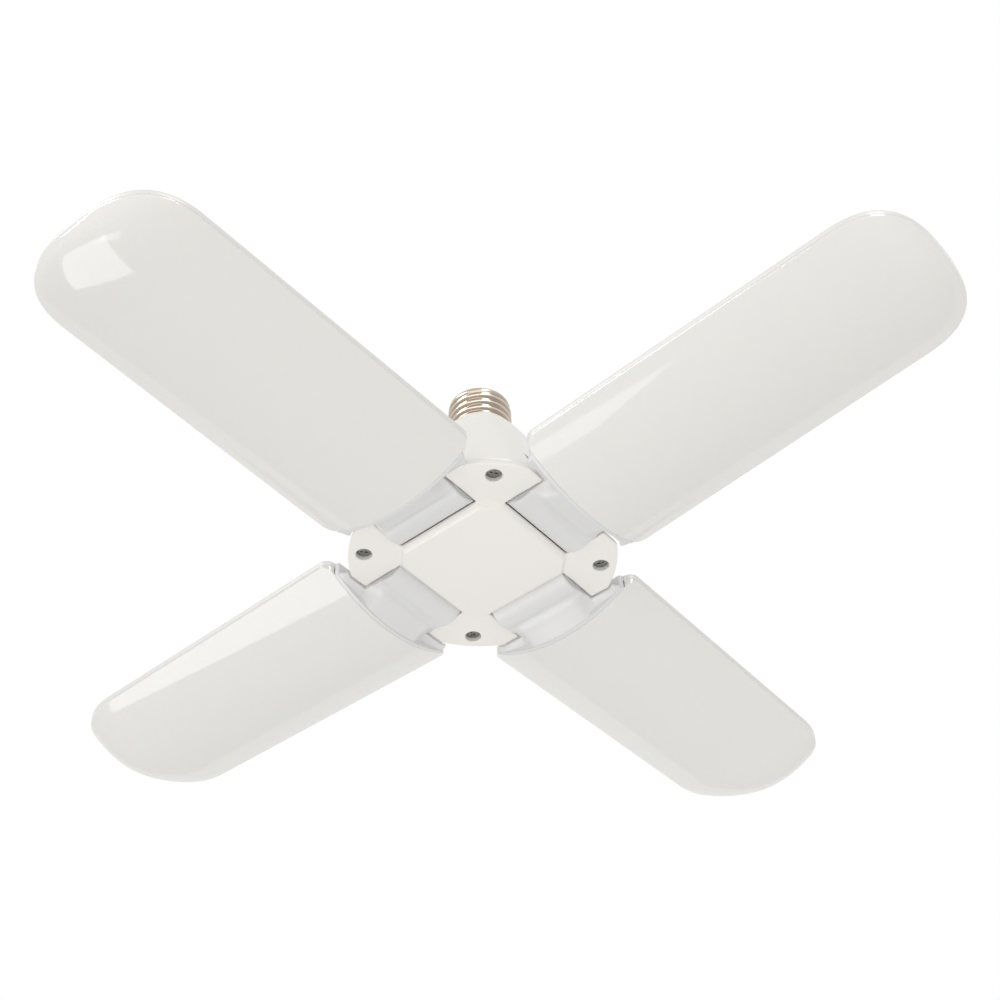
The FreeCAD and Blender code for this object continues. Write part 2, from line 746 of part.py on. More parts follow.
def arm_screw_places():
    """Places of the two screws that hold the back to the arm."""
    return [(arm_screw_u, side * arm_screw_v) for side in (-1, 1)]


def blade_back():
    """Aluminium tray with a low rim and cooling ribs on its upper side."""
    tray = blade_slab(0, rim_height, back_top)
    tray = tray.cut(blade_slab(back_rim_wall, rim_height - past, back_underside))
    tray = tray.cut(box(0, blade_start + snap_lip_start, -beyond, beyond, -beyond, back_underside))
    ribs = []
    for index in range(rib_count):
        v = (index - (rib_count - 1) / 2) * rib_spacing
        ribs.append(box(blade_start + rib_inset, blade_reach - rib_tip_gap, v - rib_width / 2, v + rib_width / 2,
                        back_underside + back_thickness / 2, back_top + rib_height))
    tray = merged([tray] + ribs)
    for u, v in board_screw_places():
        tray = tray.cut(post(board_screw_radius + screw_fit, u, v, rim_height, back_top + past))
    for u, v in arm_screw_places():
        tray = tray.cut(post(arm_screw_radius + screw_fit, u, v, rim_height, back_top + past))
    return tray


def led_board():
    """Aluminium circuit board under the back."""
    low, high = back_underside - board_thickness, back_underside
    board = box(board_start, board_end, -board_half_width, board_half_width, low, high)
    upright = [edge for edge in board.Edges if edge.BoundBox.ZLength > board_thickness / 2
               and edge.BoundBox.XMin > board_end - past]
    board = board.makeFillet(board_corner, upright)
    for u, v in board_screw_places():
        board = board.cut(post(board_screw_radius + screw_fit, u, v, low - past, high + past))
    return board


def leds():
    """Grid of LED packages on the board's underside."""
    high = back_underside - board_thickness
    packages = []
    for column in range(led_columns):
        for row in range(led_rows):
            u = led_first_u + column * led_column_spacing
            v = (row - (led_rows - 1) / 2) * led_row_spacing
            packages.append(box(u - led_length / 2, u + led_length / 2, v - led_width / 2, v + led_width / 2,
                                high - led_height, high))
    return packages


def board_screws():
    """Screws that hold the LED board to the back."""
    face = back_underside - board_thickness
    screws = []
    for u, v in board_screw_places():
        head = post(board_head_radius, u, v, face - board_head_height, face)
        shank = post(board_screw_radius, u, v, face, back_top)
        screws.append(merged([head, shank]).cut(cross_recess(u, v, face - board_head_height, 1)))
    return screws


def arm_screws():
    """Screws through the back into the arm's tongue."""
    screws = []
    for u, v in arm_screw_places():
        head = post(arm_head_radius, u, v, back_top, back_top + arm_head_height)
        shank = post(arm_screw_radius, u, v, back_underside - arm_screw_length, back_top)
        screws.append(merged([head, shank]).cut(cross_recess(u, v, back_top + arm_head_height, -1)))
    return screws


def blade_lead_points():
    """Route from the hollow pin, through the arm, to the LED board."""
    level = back_underside - board_thickness - lead_radius - lead_seat
    return [(hinge_radius, pin_start - lead_gap, hinge_height), (hinge_radius, 0, hinge_height),
            (hinge_radius + barrel_radius + blade_lead_dip, 0, level), (board_start + blade_lead_inset, 0, level)]


def blade_lead():
    """Lead inside the arm and under the LED board."""
    return lead(blade_lead_points(), lead_radius, lead_bend)


def arm_web():
    """Broad web from the barrel to the end cap, with the stop shoulder that meets the cover at full fold."""
    stop = math.radians(stop_angle)
    foot = Vector(hinge_radius + stop_reach * math.cos(stop), 0, hinge_height - stop_reach * math.sin(stop))
    web_end = blade_start - cap_clearance
    web_bottom = rim_height - diffuser_lip - arch_start
    profile = polygon([Vector(hinge_radius, 0, hinge_height), foot, Vector(web_end, 0, web_bottom),
                       Vector(web_end, 0, web_top_height),
                       Vector(hinge_radius, 0, hinge_height + barrel_radius - web_step)])
    web = Part.Face(profile).extrude(Vector(0, 2 * barrel_half_length, 0))
    return web.translated(Vector(0, -barrel_half_length, 0))


def hinge_arm():
    """Barrel on the hinge axis, broad web, and end cap inside the diffuser."""
    cap_block = box(cap_start, cap_start + cap_thickness, -half_width_start, half_width_start,
                    rim_height - 2 * arch_start, back_underside)
    inside = arch_run(diffuser_wall + cap_clearance, hinge_radius, slot_height)
    arched = merged([arm_web(), cap_block]).common(inside)
    tongue = box(cap_start + past, tongue_end, -tongue_half_width, tongue_half_width,
                 back_underside - tongue_depth, back_underside)
    body = merged([arched, tongue, hinge_rod(barrel_radius, -barrel_half_length, barrel_half_length)])
    body = body.cut(hinge_rod(barrel_cavity_radius, -cavity_half_length, cavity_half_length))
    body = body.cut(hinge_rod(pin_radius + pin_fit, -beyond, beyond))
    body = body.cut(lead(blade_lead_points(), lead_radius + lead_channel_gap, lead_bend))
    for u, v in arm_screw_places():
        hole_bottom = back_underside - arm_screw_length - screw_hole_extra
        body = body.cut(post(arm_screw_radius + screw_fit, u, v, hole_bottom, beyond))
    return body


# ---------------------------------------------------------------- nodes
def save(name, shapes):
    """Write one node, a solid or a group of separate solids."""
    group = shapes if isinstance(shapes, list) else [shapes]
    solids = [solid for shape in group for solid in shape.Solids]
    result = solids[0] if len(solids) == 1 else Part.makeCompound(solids)
    result.exportStep("parts/" + name + ".step")
    print(name, len(solids), "solids", round(sum(solid.Volume for solid in solids), 1), "mm3",
          "" if result.isValid() else "NOT VALID")


def save_hub_piece(name, shapes):
    """Write a piece that is built by height above the lobes' lower face."""
    group = shapes if isinstance(shapes, list) else [shapes]
    save(name, [shape.translated(Vector(0, 0, lobe_face_z)) for shape in group])


def save_blade_piece(name, side, shapes):
    """Tilt a level blade piece to its rest, turn it to its diagonal and write it."""
    group = shapes if isinstance(shapes, list) else [shapes]
    hinge = Vector(hinge_radius, 0, hinge_height)
    tilted = [shape.rotated(hinge, Vector(0, 1, 0), -rest_tilts[side]) for shape in group]
    save_hub_piece(name + "_" + side, [turned(shape, azimuths[side]) for shape in tilted])


os.makedirs("parts", exist_ok=True)

hub_pieces = {
    "centre_contact": centre_contact,
    "cap_insulator": cap_insulator,
    "screw_shell": screw_shell,
    "neck_housing": neck_housing,
    "bottom_cover": bottom_cover,
    "cover_screws": cover_screws,
    "hinge_pins": hinge_pins,
    "friction_washers": friction_washers,
    "driver_board": driver_board,
    "driver_screws": driver_screws,
    "bulk_capacitor": bulk_capacitor,
    "inductor_core": inductor_core,
    "inductor_winding": inductor_winding,
    "fuse_resistor": fuse_resistor,
    "varistor": varistor,
    "live_lead": live_lead,
    "neutral_lead": neutral_lead,
    "hub_leads": hub_leads,
}
for piece_name, make_piece in hub_pieces.items():
    save_hub_piece(piece_name, make_piece())
for piece_name, place, size in (("film_capacitor", film_place, film_size),
                                ("rectifier_bridge", bridge_place, bridge_size),
                                ("driver_chip", chip_place, chip_size)):
    save_hub_piece(piece_name, on_driver(place, size))

blade_pieces = {
    "hinge_arm": hinge_arm,
    "blade_back": blade_back,
    "diffuser": diffuser,
    "led_board": led_board,
    "leds": leds,
    "board_screws": board_screws,
    "arm_screws": arm_screws,
    "blade_lead": blade_lead,
}
for piece_name, make_piece in blade_pieces.items():
    level_piece = make_piece()
    for blade_side in rest_tilts:
        save_blade_piece(piece_name, blade_side, level_piece)
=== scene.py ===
"""Looks of the folding four-blade garage light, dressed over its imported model.

Metres, +Z up, origin at the tip of the lamp's centre contact. Sizes are written in millimetres and turned
into metres by MM. A blade is made level in its arm frame (u outwards from the lamp's axis, v across, h up
from the lobes' lower face) and then laid on its hinge, whose place, direction and rest tilt come from the
frame.
"""
import bmesh
import bpy
import json
import math
from mathutils import Matrix, Vector


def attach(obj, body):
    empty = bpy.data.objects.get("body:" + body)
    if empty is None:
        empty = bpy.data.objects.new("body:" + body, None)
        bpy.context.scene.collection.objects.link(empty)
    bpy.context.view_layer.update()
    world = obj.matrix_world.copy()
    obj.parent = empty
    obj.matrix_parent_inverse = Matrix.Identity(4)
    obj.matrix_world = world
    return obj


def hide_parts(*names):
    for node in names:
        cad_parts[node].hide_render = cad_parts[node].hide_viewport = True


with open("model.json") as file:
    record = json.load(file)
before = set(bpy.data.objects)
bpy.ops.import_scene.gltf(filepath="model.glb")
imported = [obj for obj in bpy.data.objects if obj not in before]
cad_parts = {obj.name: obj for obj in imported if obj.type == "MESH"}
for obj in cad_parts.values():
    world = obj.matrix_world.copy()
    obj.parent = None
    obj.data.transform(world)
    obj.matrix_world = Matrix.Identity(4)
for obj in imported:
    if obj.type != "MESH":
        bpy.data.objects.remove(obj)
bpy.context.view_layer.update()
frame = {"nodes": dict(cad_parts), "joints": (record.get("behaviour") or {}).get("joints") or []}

MM = 0.001
BLADES = ("front_left", "front_right", "rear_left", "rear_right")

# hub and hinge sizes, millimetres
LOBE_FACE_Z = -92.5
HINGE_RADIUS = 33.0
HINGE_HEIGHT = 6.0
UP_LIMIT = 10.0               # degrees that a blade's tip rises above the level

SKIRT_RADIUS = 51.6
FLAT_APOTHEM = 44.2
FLAT_BLEND = 5.0              # rounding between the flats and the cone
SHOULDER_BLEND = 2.0          # and between the skirt and the shoulder
WALL_SLANT = 1.1              # level width of a wall on the slanting side, against its thickness
SKIRT_SLOPE = math.tan(math.radians(22.3))
SHOULDER_SLOPE = math.tan(math.radians(44.0))
RIM_RADIUS = 15.6
BODY_HEIGHT = 66.5
SEAM_HEIGHT = 4.0
HOUSING_WALL = 2.5
SLOT_HALF_WIDTH = 18.4
SLOT_HEIGHT = 20.0
SLOT_CEILING = 2.5
CHEEK = 3.5                   # lobe wall that carries a hinge pin
SLOT_INNER = 24.2
CASING_WALL = 2.2             # slot's inner wall
PAST = 60.0                   # reach of a cut that runs out of the body
HOUSING_STEPS = 240
SIDE_LEVELS = 44
SIDE_SHORTER = 1.6            # housing's plain side, without its rounded ends
SEAM_ROUNDING = ((0.0, 0.45), (0.15, 0.2), (0.5, 0.0))      # height above the seam, and how far inwards
RIM_ROUNDING = ((0.6, 0.05), (0.2, 0.3), (0.0, 0.8))        # depth below the rim, and how far inwards
SPIGOT_RADIUS = 11.75
SPIGOT_BORE = 9.3
SPIGOT_HEIGHT = 14.0
SPIGOT_SINK = 2.0             # spigot inside the roof
PLATE_APOTHEM = 25.8
PLATE_BEVEL = 2.0
PLATE_RISE = 1.8
PLATE_CORNER = 31.5
COVER_EDGE = 0.7              # rounding

# screw cap
SHELL_BASE = BODY_HEIGHT
SHELL_HEIGHT = 18.5
SHELL_LIP_HEIGHT = 1.3
SHELL_LIP_RADIUS = 10.9
SHELL_SHEET = 0.35
CREST_RADIUS = 13.1
THREAD_DEPTH = 0.9
THREAD_PITCH = 3.629
THREAD_RUN_OUT = 0.67         # turns over which the thread fades at each end
SHELL_STEPS = 96              # round the shell
THREAD_ROWS = 121
CONTACT_RADIUS = 4.8
CONTACT_FLAT = 3.2
CONTACT_HEIGHT = 1.5
CONTACT_RIM = 0.3             # upright part of the contact's edge
PLUG_FIT = 0.15               # insulator inside the shell's lip
PLUG_DEPTH = 3.0
PLUG_SHOULDER = 0.5
CONE_BULGE = 0.9              # less makes the insulator rounder

# cover screws
SCREW_CIRCLE = 45.4
SCREW_SINK = 0.8
SCREW_HEAD_RADIUS = 3.1
SCREW_HEAD_HEIGHT = 1.6
SCREW_SHANK_RADIUS = 1.5
SCREW_SHANK_LENGTH = 7.0
WELL_RADIUS = 3.15            # well in the lobe that the head sits in
WELL_CHAMFER = 1.3
SCREW_STEPS = 40              # round a screw or its well
SCREW_HEAD_FIT = 0.2          # head's clearance in its well
SCREW_HEAD_THINNER = 0.75     # head that shows, against the space it sits in
HEAD_EDGE = 0.55              # head's upright edge, as a share of its height
RECESS_DEPTH = 0.75           # cross, as a share of the head's height,
RECESS_REACH = 0.58           # and of its radius: an arm's length
RECESS_HALF = 0.13            # and half its width
RECESS_TAPERS = (1.1, 0.62)   # length above the head and at the cross's foot

# blades
BLADE_REACH = 202.5
BLADE_START = 48.5
TIP_LENGTH = 28.6
TIP_POWER = 2.7
HALF_WIDTH_START = 35.3
HALF_WIDTH_TIP = 33.6
CORNER_RADIUS = 4.0
RIM_HEIGHT = 4.0
DIFFUSER_WALL = 1.6
DIFFUSER_LIP = 1.2
DIFFUSER_EDGE = 0.12          # rounding
ARCH_START = 11.2
ARCH_TIP = 8.6
BACK_TOP = 6.5
BACK_RIM_WALL = 1.2
RIB_HEIGHT = 1.2
RIB_WIDTH = 2.0
RIB_SINK = 0.5                # part of a rib inside the back
RIB_EDGE = 0.5
RIB_SPACING = 12.0
RIB_COUNT = 4
RIB_START = 64.0
RIB_END = BLADE_REACH - 19.75
BACK_THICKNESS = 1.5
TIP_START = BLADE_REACH - TIP_LENGTH

# hinge arms
BARREL_RADIUS = 8.4
BARREL_HALF_LENGTH = 17.65
RELIEF_RADIUS = 8.8           # hollow of the cover round the barrel
ARM_END = 48.42               # arm's face against the diffuser
ARM_FLUSH = 0.05              # arm's lower face inside the diffuser's
WEB_TOP = 7.4
FLANGE_START = 47.0
WEB_STEPS = 24
WEB_ARC = (62.0, 270.0)       # degrees of the barrel that the web's outline follows
WEB_HOLD_OUT = 7.0            # Bezier holds of the web's lower face: past the hinge,
WEB_HOLD_BACK = 5.7           # before the diffuser,
WEB_HOLD_RISE = 2.6           # and above its arch
WEB_SLICES = 36
WEB_EDGE = 0.35               # roundings
FLANGE_EDGE = 0.1
TONGUE_EDGE = 0.5
SWEPT_RADIUS = 8.5            # kept by the web's lower face near the hinge, so that a fold clears the cover
SWEPT_REACH = 3.6
SWEPT_FADE = 3.0
TONGUE_DEPTH = 6.0
FLARE_LAP = 0.4               # flare inside the web's side
FLARE_STEPS = 24
LOBE_FILLET_START = 12.5      # across, where the web starts to draw up beside a lobe
LOBE_FILLET_RUN = (2.0, 7.0)  # along, where that starts past the hinge, and over what length
FLARE_GAP = 0.5               # between the lobe's outer side and the flare
FLARE_TAPER = 2.0
FLARE_EDGE_HEIGHT = -0.5
FLARE_EDGE_RISE = 0.4         # least rise of the flare's inner edge above the arch
FLARE_CURVE = 1.5
FLARE_SHEET = 0.9
FLARE_SHEET_TOP = -1.2
FLANGE_HALF_WIDTH = 31.0
FLANGE_TOP = 6.2
TONGUE_HALF_WIDTH = 22.0
TONGUE_END = 60.0
ARM_SCREW_U = 54.0
ARM_SCREW_V = 12.0
ARM_SCREW_RADIUS = 1.5
ARM_SCREW_LENGTH = 7.0
ARM_HEAD_RADIUS = 2.8
ARM_HEAD_HEIGHT = 1.8

# the photograph's camera: seen from below, hub turned a little against it
CAMERA_DISTANCE = 663.8       # from the centre of the lobes' lower faces
CAMERA_TURN = -5.91
CAMERA_RISE = 42.52           # degrees that it looks up
CAMERA_ROLL = -1.37
CAMERA_FOCAL = 1739.9         # in pixels of the photograph's frame
CAMERA_AIM = (483.06, 560.45)  # pixel on which the hub's centre falls
FRAME_SIZE = 1000.0           # pixels
SENSOR_WIDTH = 36.0

GRAIN_DEPTH = 0.0002          # metres, of the finishes' fine relief
MOTTLE_SCALE = 18.0           # of their broad mottle

# studio
KEY_LIGHT = 0.79
KEY_FROM = (-0.20, -0.30, -0.90)
KEY_SPREAD = 30.0             # degrees
WORLD_LIGHT = 0.8
FLOOR_DROP = 1.25             # metres below the cap's tip
FLOOR_REACH = 6.0
FLOOR_COLOUR = (0.86, 0.86, 0.86, 1)
# name, place and target in metres from the hub's centre, size, watts, direction of the width, gloss only
LAMPS = (
    ("left_window", (-0.348, 0.051, -0.379), (-0.095, -0.029, 0.05), (0.351, 0.319), 0.94,
     (0.732, -0.447, -0.515), True),
    ("low_window", (-0.376, -0.126, -0.945), (0.111, -0.282, -0.118), (0.25, 0.143), 0.22,
     (0.86, -0.023, -0.51), True),
    ("upper_strip", (0.30, -0.95, 0.80), (0, 0, 0), (0.35, 0.9), 9.0, (1, 0, 0), True),
    ("left_strip", (-0.95, -0.45, 0.80), (0, 0, 0), (0.35, 0.9), 10.0, (1, 0, 0), True),
    ("front_softbox", (-0.45, -1.5, 0.1), (0, 0, 0), (1.2, 0.9), 4.4, (1, 0, 0), False),
)


# ---------------------------------------------------------------- objects and nodes
def new_object(name, data):
    """Object at the origin, linked to the scene."""
    thing = bpy.data.objects.new(name, data)
    bpy.context.scene.collection.objects.link(thing)
    return thing


def add_object(name, mesh, material):
    """Object at the origin that holds a mesh in one material."""
    mesh.materials.clear()
    mesh.materials.append(material)
    return new_object(name, mesh)


def feed(tree, socket, source):
    """Link a node's input to another node's output, or set its value."""
    if isinstance(source, bpy.types.NodeSocket):
        tree.links.new(source, socket)
    else:
        socket.default_value = source


def feed_all(tree, node, **inputs):
    """Feed a node's inputs by name, a space written as an underscore."""
    for name, source in inputs.items():
        feed(tree, node.inputs[name.replace("_", " ")], source)


def add_node(tree, kind, **inputs):
    """New node with its inputs fed by name."""
    node = tree.nodes.new(kind)
    feed_all(tree, node, **inputs)
    return node


def maths(tree, operation, first, second=None):
    """Output of a maths node on two sockets or numbers."""
    node = tree.nodes.new("ShaderNodeMath")
    node.operation = operation
    for socket, source in zip(node.inputs, (first, second)):
        if source is not None:
            feed(tree, socket, source)
    return node.outputs[0]


def mixed(tree, amount, first, second):
    """Output of a colour mix."""
    node = tree.nodes.new("ShaderNodeMix")
    node.data_type = "RGBA"
    feed_all(tree, node, Factor=amount, A=first, B=second)
    return node.outputs["Result"]


def node_group(kind, name, inputs, outputs):
    """Node group with named inputs and outputs; with it, the values that come in and the node at its end."""
    tree = bpy.data.node_groups.new(name, kind)
    for socket, sort, value in inputs:
        made = tree.interface.new_socket(name=socket, in_out="INPUT", socket_type="NodeSocket" + sort)
        if value is not None:
            made.default_value = value
    for socket, sort in outputs:
        tree.interface.new_socket(name=socket, in_out="OUTPUT", socket_type="NodeSocket" + sort)
    return tree, tree.nodes.new("NodeGroupInput").outputs, tree.nodes.new("NodeGroupOutput")


# ---------------------------------------------------------------- camera and studio
def make_camera():
    """Camera at the photograph's viewing angle."""
    rise, roll = math.radians(CAMERA_RISE), math.radians(CAMERA_ROLL)
    turn = Matrix.Rotation(math.radians(CAMERA_TURN), 3, "Z")
    forward = turn @ Vector((0, math.cos(rise), math.sin(rise)))
    level_right = turn @ Vector((1, 0, 0))
    level_up = turn @ Vector((0, -math.sin(rise), math.cos(rise)))
    right = level_right * math.cos(roll) + level_up * math.sin(roll)
    up = level_up * math.cos(roll) - level_right * math.sin(roll)
    camera = new_object("photo_camera", bpy.data.cameras.new("photo_camera"))
    place = Vector((0, 0, LOBE_FACE_Z)) * MM - forward * CAMERA_DISTANCE * MM
    camera.matrix_world = Matrix.Translation(place) @ Matrix((right, up, -forward)).transposed().to_4x4()
    lens = camera.data
    lens.sensor_width = SENSOR_WIDTH
    lens.lens = CAMERA_FOCAL / FRAME_SIZE * SENSOR_WIDTH
    lens.shift_x = (FRAME_SIZE / 2 - CAMERA_AIM[0]) / FRAME_SIZE
    lens.shift_y = (CAMERA_AIM[1] - FRAME_SIZE / 2) / FRAME_SIZE
    lens.clip_start, lens.clip_end = 0.01, 50.0
    bpy.context.scene.camera = camera


def softbox(name, place, target, size, power, across, glossy_only):
    """Rectangular lamp that faces a target, its width along a direction; glossy_only shows in gloss alone."""
    back = (Vector(place) - Vector(target)).normalized()
    width = (Vector(across) - back * back.dot(Vector(across))).normalized()
    lamp = bpy.data.lights.new(name, "AREA")
    lamp.shape = "RECTANGLE"
    lamp.size, lamp.size_y = size
    lamp.energy = power
    holder = new_object(name, lamp)
    holder.location = Vector((0, 0, LOBE_FACE_Z * MM)) + Vector(place)
    holder.rotation_mode = "QUATERNION"
    holder.rotation_quaternion = Matrix((width, back.cross(width), back)).transposed().to_quaternion()
    holder.visible_camera = False
    holder.visible_diffuse = not glossy_only


def make_world():
    """White to the camera and in gloss and glass, plain soft light for everything else."""
    world = bpy.data.worlds.new("studio_world")
    bpy.context.scene.world = world
    world.use_nodes = True
    tree = world.node_tree
    tree.nodes.clear()
    light = add_node(tree, "ShaderNodeBackground", Color=(1, 1, 1, 1), Strength=WORLD_LIGHT)
    seen = add_node(tree, "ShaderNodeBackground", Color=(1, 1, 1, 1), Strength=1.0)
    path = add_node(tree, "ShaderNodeLightPath").outputs
    either = maths(tree, "MAXIMUM", path["Is Camera Ray"], path["Is Glossy Ray"])
    any_seen = maths(tree, "MAXIMUM", either, path["Is Transmission Ray"])
    mix = add_node(tree, "ShaderNodeMixShader", Fac=any_seen)
    tree.links.new(light.outputs[0], mix.inputs[1])
    tree.links.new(seen.outputs[0], mix.inputs[2])
    add_node(tree, "ShaderNodeOutputWorld", Surface=mix.outputs[0])


def make_studio():
    """Plain pale floor far below, and the lamps."""
    mesh = bpy.data.meshes.new("studio_floor")
    corners = [(x * FLOOR_REACH, y * FLOOR_REACH, -FLOOR_DROP)
               for x, y in ((-1, -1), (1, -1), (1, 1), (-1, 1))]
    mesh.from_pydata(corners, [], [(0, 1, 2, 3)])
    paint = bpy.data.materials.new("studio_floor_paint")
    paint.use_nodes = True
    shader = paint.node_tree.nodes["Principled BSDF"]
    shader.inputs["Base Color"].default_value = FLOOR_COLOUR
    shader.inputs["Roughness"].default_value = 0.9
    floor = add_object("studio_floor", mesh, paint)
    floor.visible_shadow = False          # the key light comes from below the floor
    for lamp in LAMPS:
        softbox(*lamp)
    key = bpy.data.lights.new("soft_key", "SUN")
    key.energy = KEY_LIGHT
    key.angle = math.radians(KEY_SPREAD)
    holder = new_object("soft_key", key)
    holder.rotation_mode = "QUATERNION"
    holder.rotation_quaternion = Vector(KEY_FROM).to_track_quat("Z", "Y")
    holder.visible_glossy = False


# ---------------------------------------------------------------- materials
def make_fine_grain():
    """Group: mottled tint, roughness and bump height of a moulded or coated surface."""
    tree, given, out = node_group("ShaderNodeTree", "fine_grain", (
        ("Vector", "Vector", None), ("Colour", "Color", (0.8, 0.8, 0.8, 1)),
        ("Tint", "Color", (0.7, 0.7, 0.7, 1)), ("Tint Amount", "Float", 0.1), ("Grain Scale", "Float", 900.0),
        ("Low Roughness", "Float", 0.3), ("High Roughness", "Float", 0.4)),
        (("Colour", "Color"), ("Roughness", "Float"), ("Height", "Float")))
    broad = add_node(tree, "ShaderNodeTexNoise", Vector=given["Vector"], Scale=MOTTLE_SCALE, Detail=3.0)
    mottle = broad.outputs["Fac"]
    grain = add_node(tree, "ShaderNodeTexNoise", Vector=given["Vector"], Scale=given["Grain Scale"],
                     Detail=2.0)
    amount = maths(tree, "MULTIPLY", mottle, given["Tint Amount"])
    rough = add_node(tree, "ShaderNodeMapRange", Value=mottle, To_Min=given["Low Roughness"],
                     To_Max=given["High Roughness"])
    feed_all(tree, out, Colour=mixed(tree, amount, given["Colour"], given["Tint"]),
             Roughness=rough.outputs["Result"], Height=grain.outputs["Fac"])
    return tree


fine_grain = make_fine_grain()


def finish_material(name, colour, tint, roughness, grain_scale=900.0, bump=0.02, tint_amount=0.25, **sockets):
    """Procedural material with the fine grain of its surface; further sockets are set on the shader."""
    material = bpy.data.materials.new(name)
    material.use_nodes = True
    tree = material.node_tree
    place = add_node(tree, "ShaderNodeTexCoord")
    group = tree.nodes.new("ShaderNodeGroup")
    group.node_tree = fine_grain
    feed_all(tree, group, Vector=place.outputs["Object"], Colour=(*colour, 1), Tint=(*tint, 1),
             Tint_Amount=tint_amount, Grain_Scale=grain_scale, Low_Roughness=roughness[0],
             High_Roughness=roughness[1])
    relief = add_node(tree, "ShaderNodeBump", Strength=bump, Distance=GRAIN_DEPTH,
                      Height=group.outputs["Height"])
    feed_all(tree, tree.nodes["Principled BSDF"], Base_Color=group.outputs["Colour"],
             Roughness=group.outputs["Roughness"], Normal=relief.outputs["Normal"], **sockets)
    return material


milk = finish_material("milk_diffuser", (0.79, 0.768, 0.735), (0.765, 0.745, 0.71), (0.05, 0.08), 300.0,
                       0.004, 0.3, Subsurface_Weight=0.15, Subsurface_Scale=0.004)
housing_white = finish_material("housing_white", (0.86, 0.835, 0.79), (0.83, 0.805, 0.76), (0.30, 0.40),
                                1400.0, 0.03)
arm_white = finish_material("arm_white", (0.72, 0.715, 0.71), (0.69, 0.685, 0.68), (0.36, 0.46), 1400.0, 0.03)
coated_back = finish_material("coated_aluminium", (0.79, 0.775, 0.75), (0.75, 0.735, 0.71), (0.35, 0.5),
                              1800.0, 0.06)
nickel = finish_material("nickel_shell", (0.66, 0.60, 0.52), (0.47, 0.40, 0.33), (0.15, 0.28), 500.0, 0.03,
                         0.45, Metallic=1.0)
zinc = finish_material("zinc_screw", (0.34, 0.34, 0.31), (0.22, 0.22, 0.20), (0.22, 0.36), 1200.0, 0.05, 0.5,
                       Metallic=1.0)
black_phenolic = finish_material("black_insulator", (0.025, 0.025, 0.025), (0.04, 0.04, 0.04), (0.15, 0.3))
contact_metal = finish_material("contact_brass", (0.70, 0.58, 0.34), (0.55, 0.44, 0.25), (0.2, 0.4),
                                Metallic=1.0)
package = finish_material("black_package", (0.03, 0.03, 0.03), (0.045, 0.045, 0.045), (0.5, 0.7))
sheath = finish_material("lead_sheath", (0.72, 0.72, 0.72), (0.66, 0.66, 0.66), (0.4, 0.55))


def make_groove_shade_mask():
    """Group: mask of a threaded sleeve's grooves, from the distance to its axis, for the painted shade in
    them.
    """
    tree, given, out = node_group("ShaderNodeTree", "groove_shade_mask", (
        ("Vector", "Vector", None), ("Root Radius", "Float", (CREST_RADIUS - THREAD_DEPTH) * MM),
        ("Crest Radius", "Float", CREST_RADIUS * MM)), (("Groove", "Float"),))
    parts = add_node(tree, "ShaderNodeSeparateXYZ", Vector=given["Vector"]).outputs
    flat = add_node(tree, "ShaderNodeCombineXYZ", X=parts["X"], Y=parts["Y"])
    length = tree.nodes.new("ShaderNodeVectorMath")
    length.operation = "LENGTH"
    tree.links.new(flat.outputs[0], length.inputs[0])
    mask = add_node(tree, "ShaderNodeMapRange", Value=length.outputs["Value"], From_Min=given["Root Radius"],
                    From_Max=given["Crest Radius"], To_Min=1.0, To_Max=0.0)
    feed_all(tree, out, Groove=mask.outputs["Result"])
    return tree


def paint_groove_shade(material, groove_shade_colour):
    """Paint shade into a threaded sleeve's grooves: its colour is darkened there, where shade falls."""
    tree = material.node_tree
    base = tree.nodes["Principled BSDF"].inputs["Base Color"]
    place = next(node for node in tree.nodes if node.type == "TEX_COORD")
    groove = tree.nodes.new("ShaderNodeGroup")
    groove.node_tree = make_groove_shade_mask()
    feed_all(tree, groove, Vector=place.outputs["Object"])
    # painted shade: the finish's colour is mixed towards a dark brown in the grooves
    tree.links.new(mixed(tree, groove.outputs["Groove"], base.links[0].from_socket, (*groove_shade_colour, 1)), base)


# painted shade: the nickel shell's colour is darkened in its thread grooves, where shade falls
paint_groove_shade(nickel, (0.33, 0.255, 0.19))

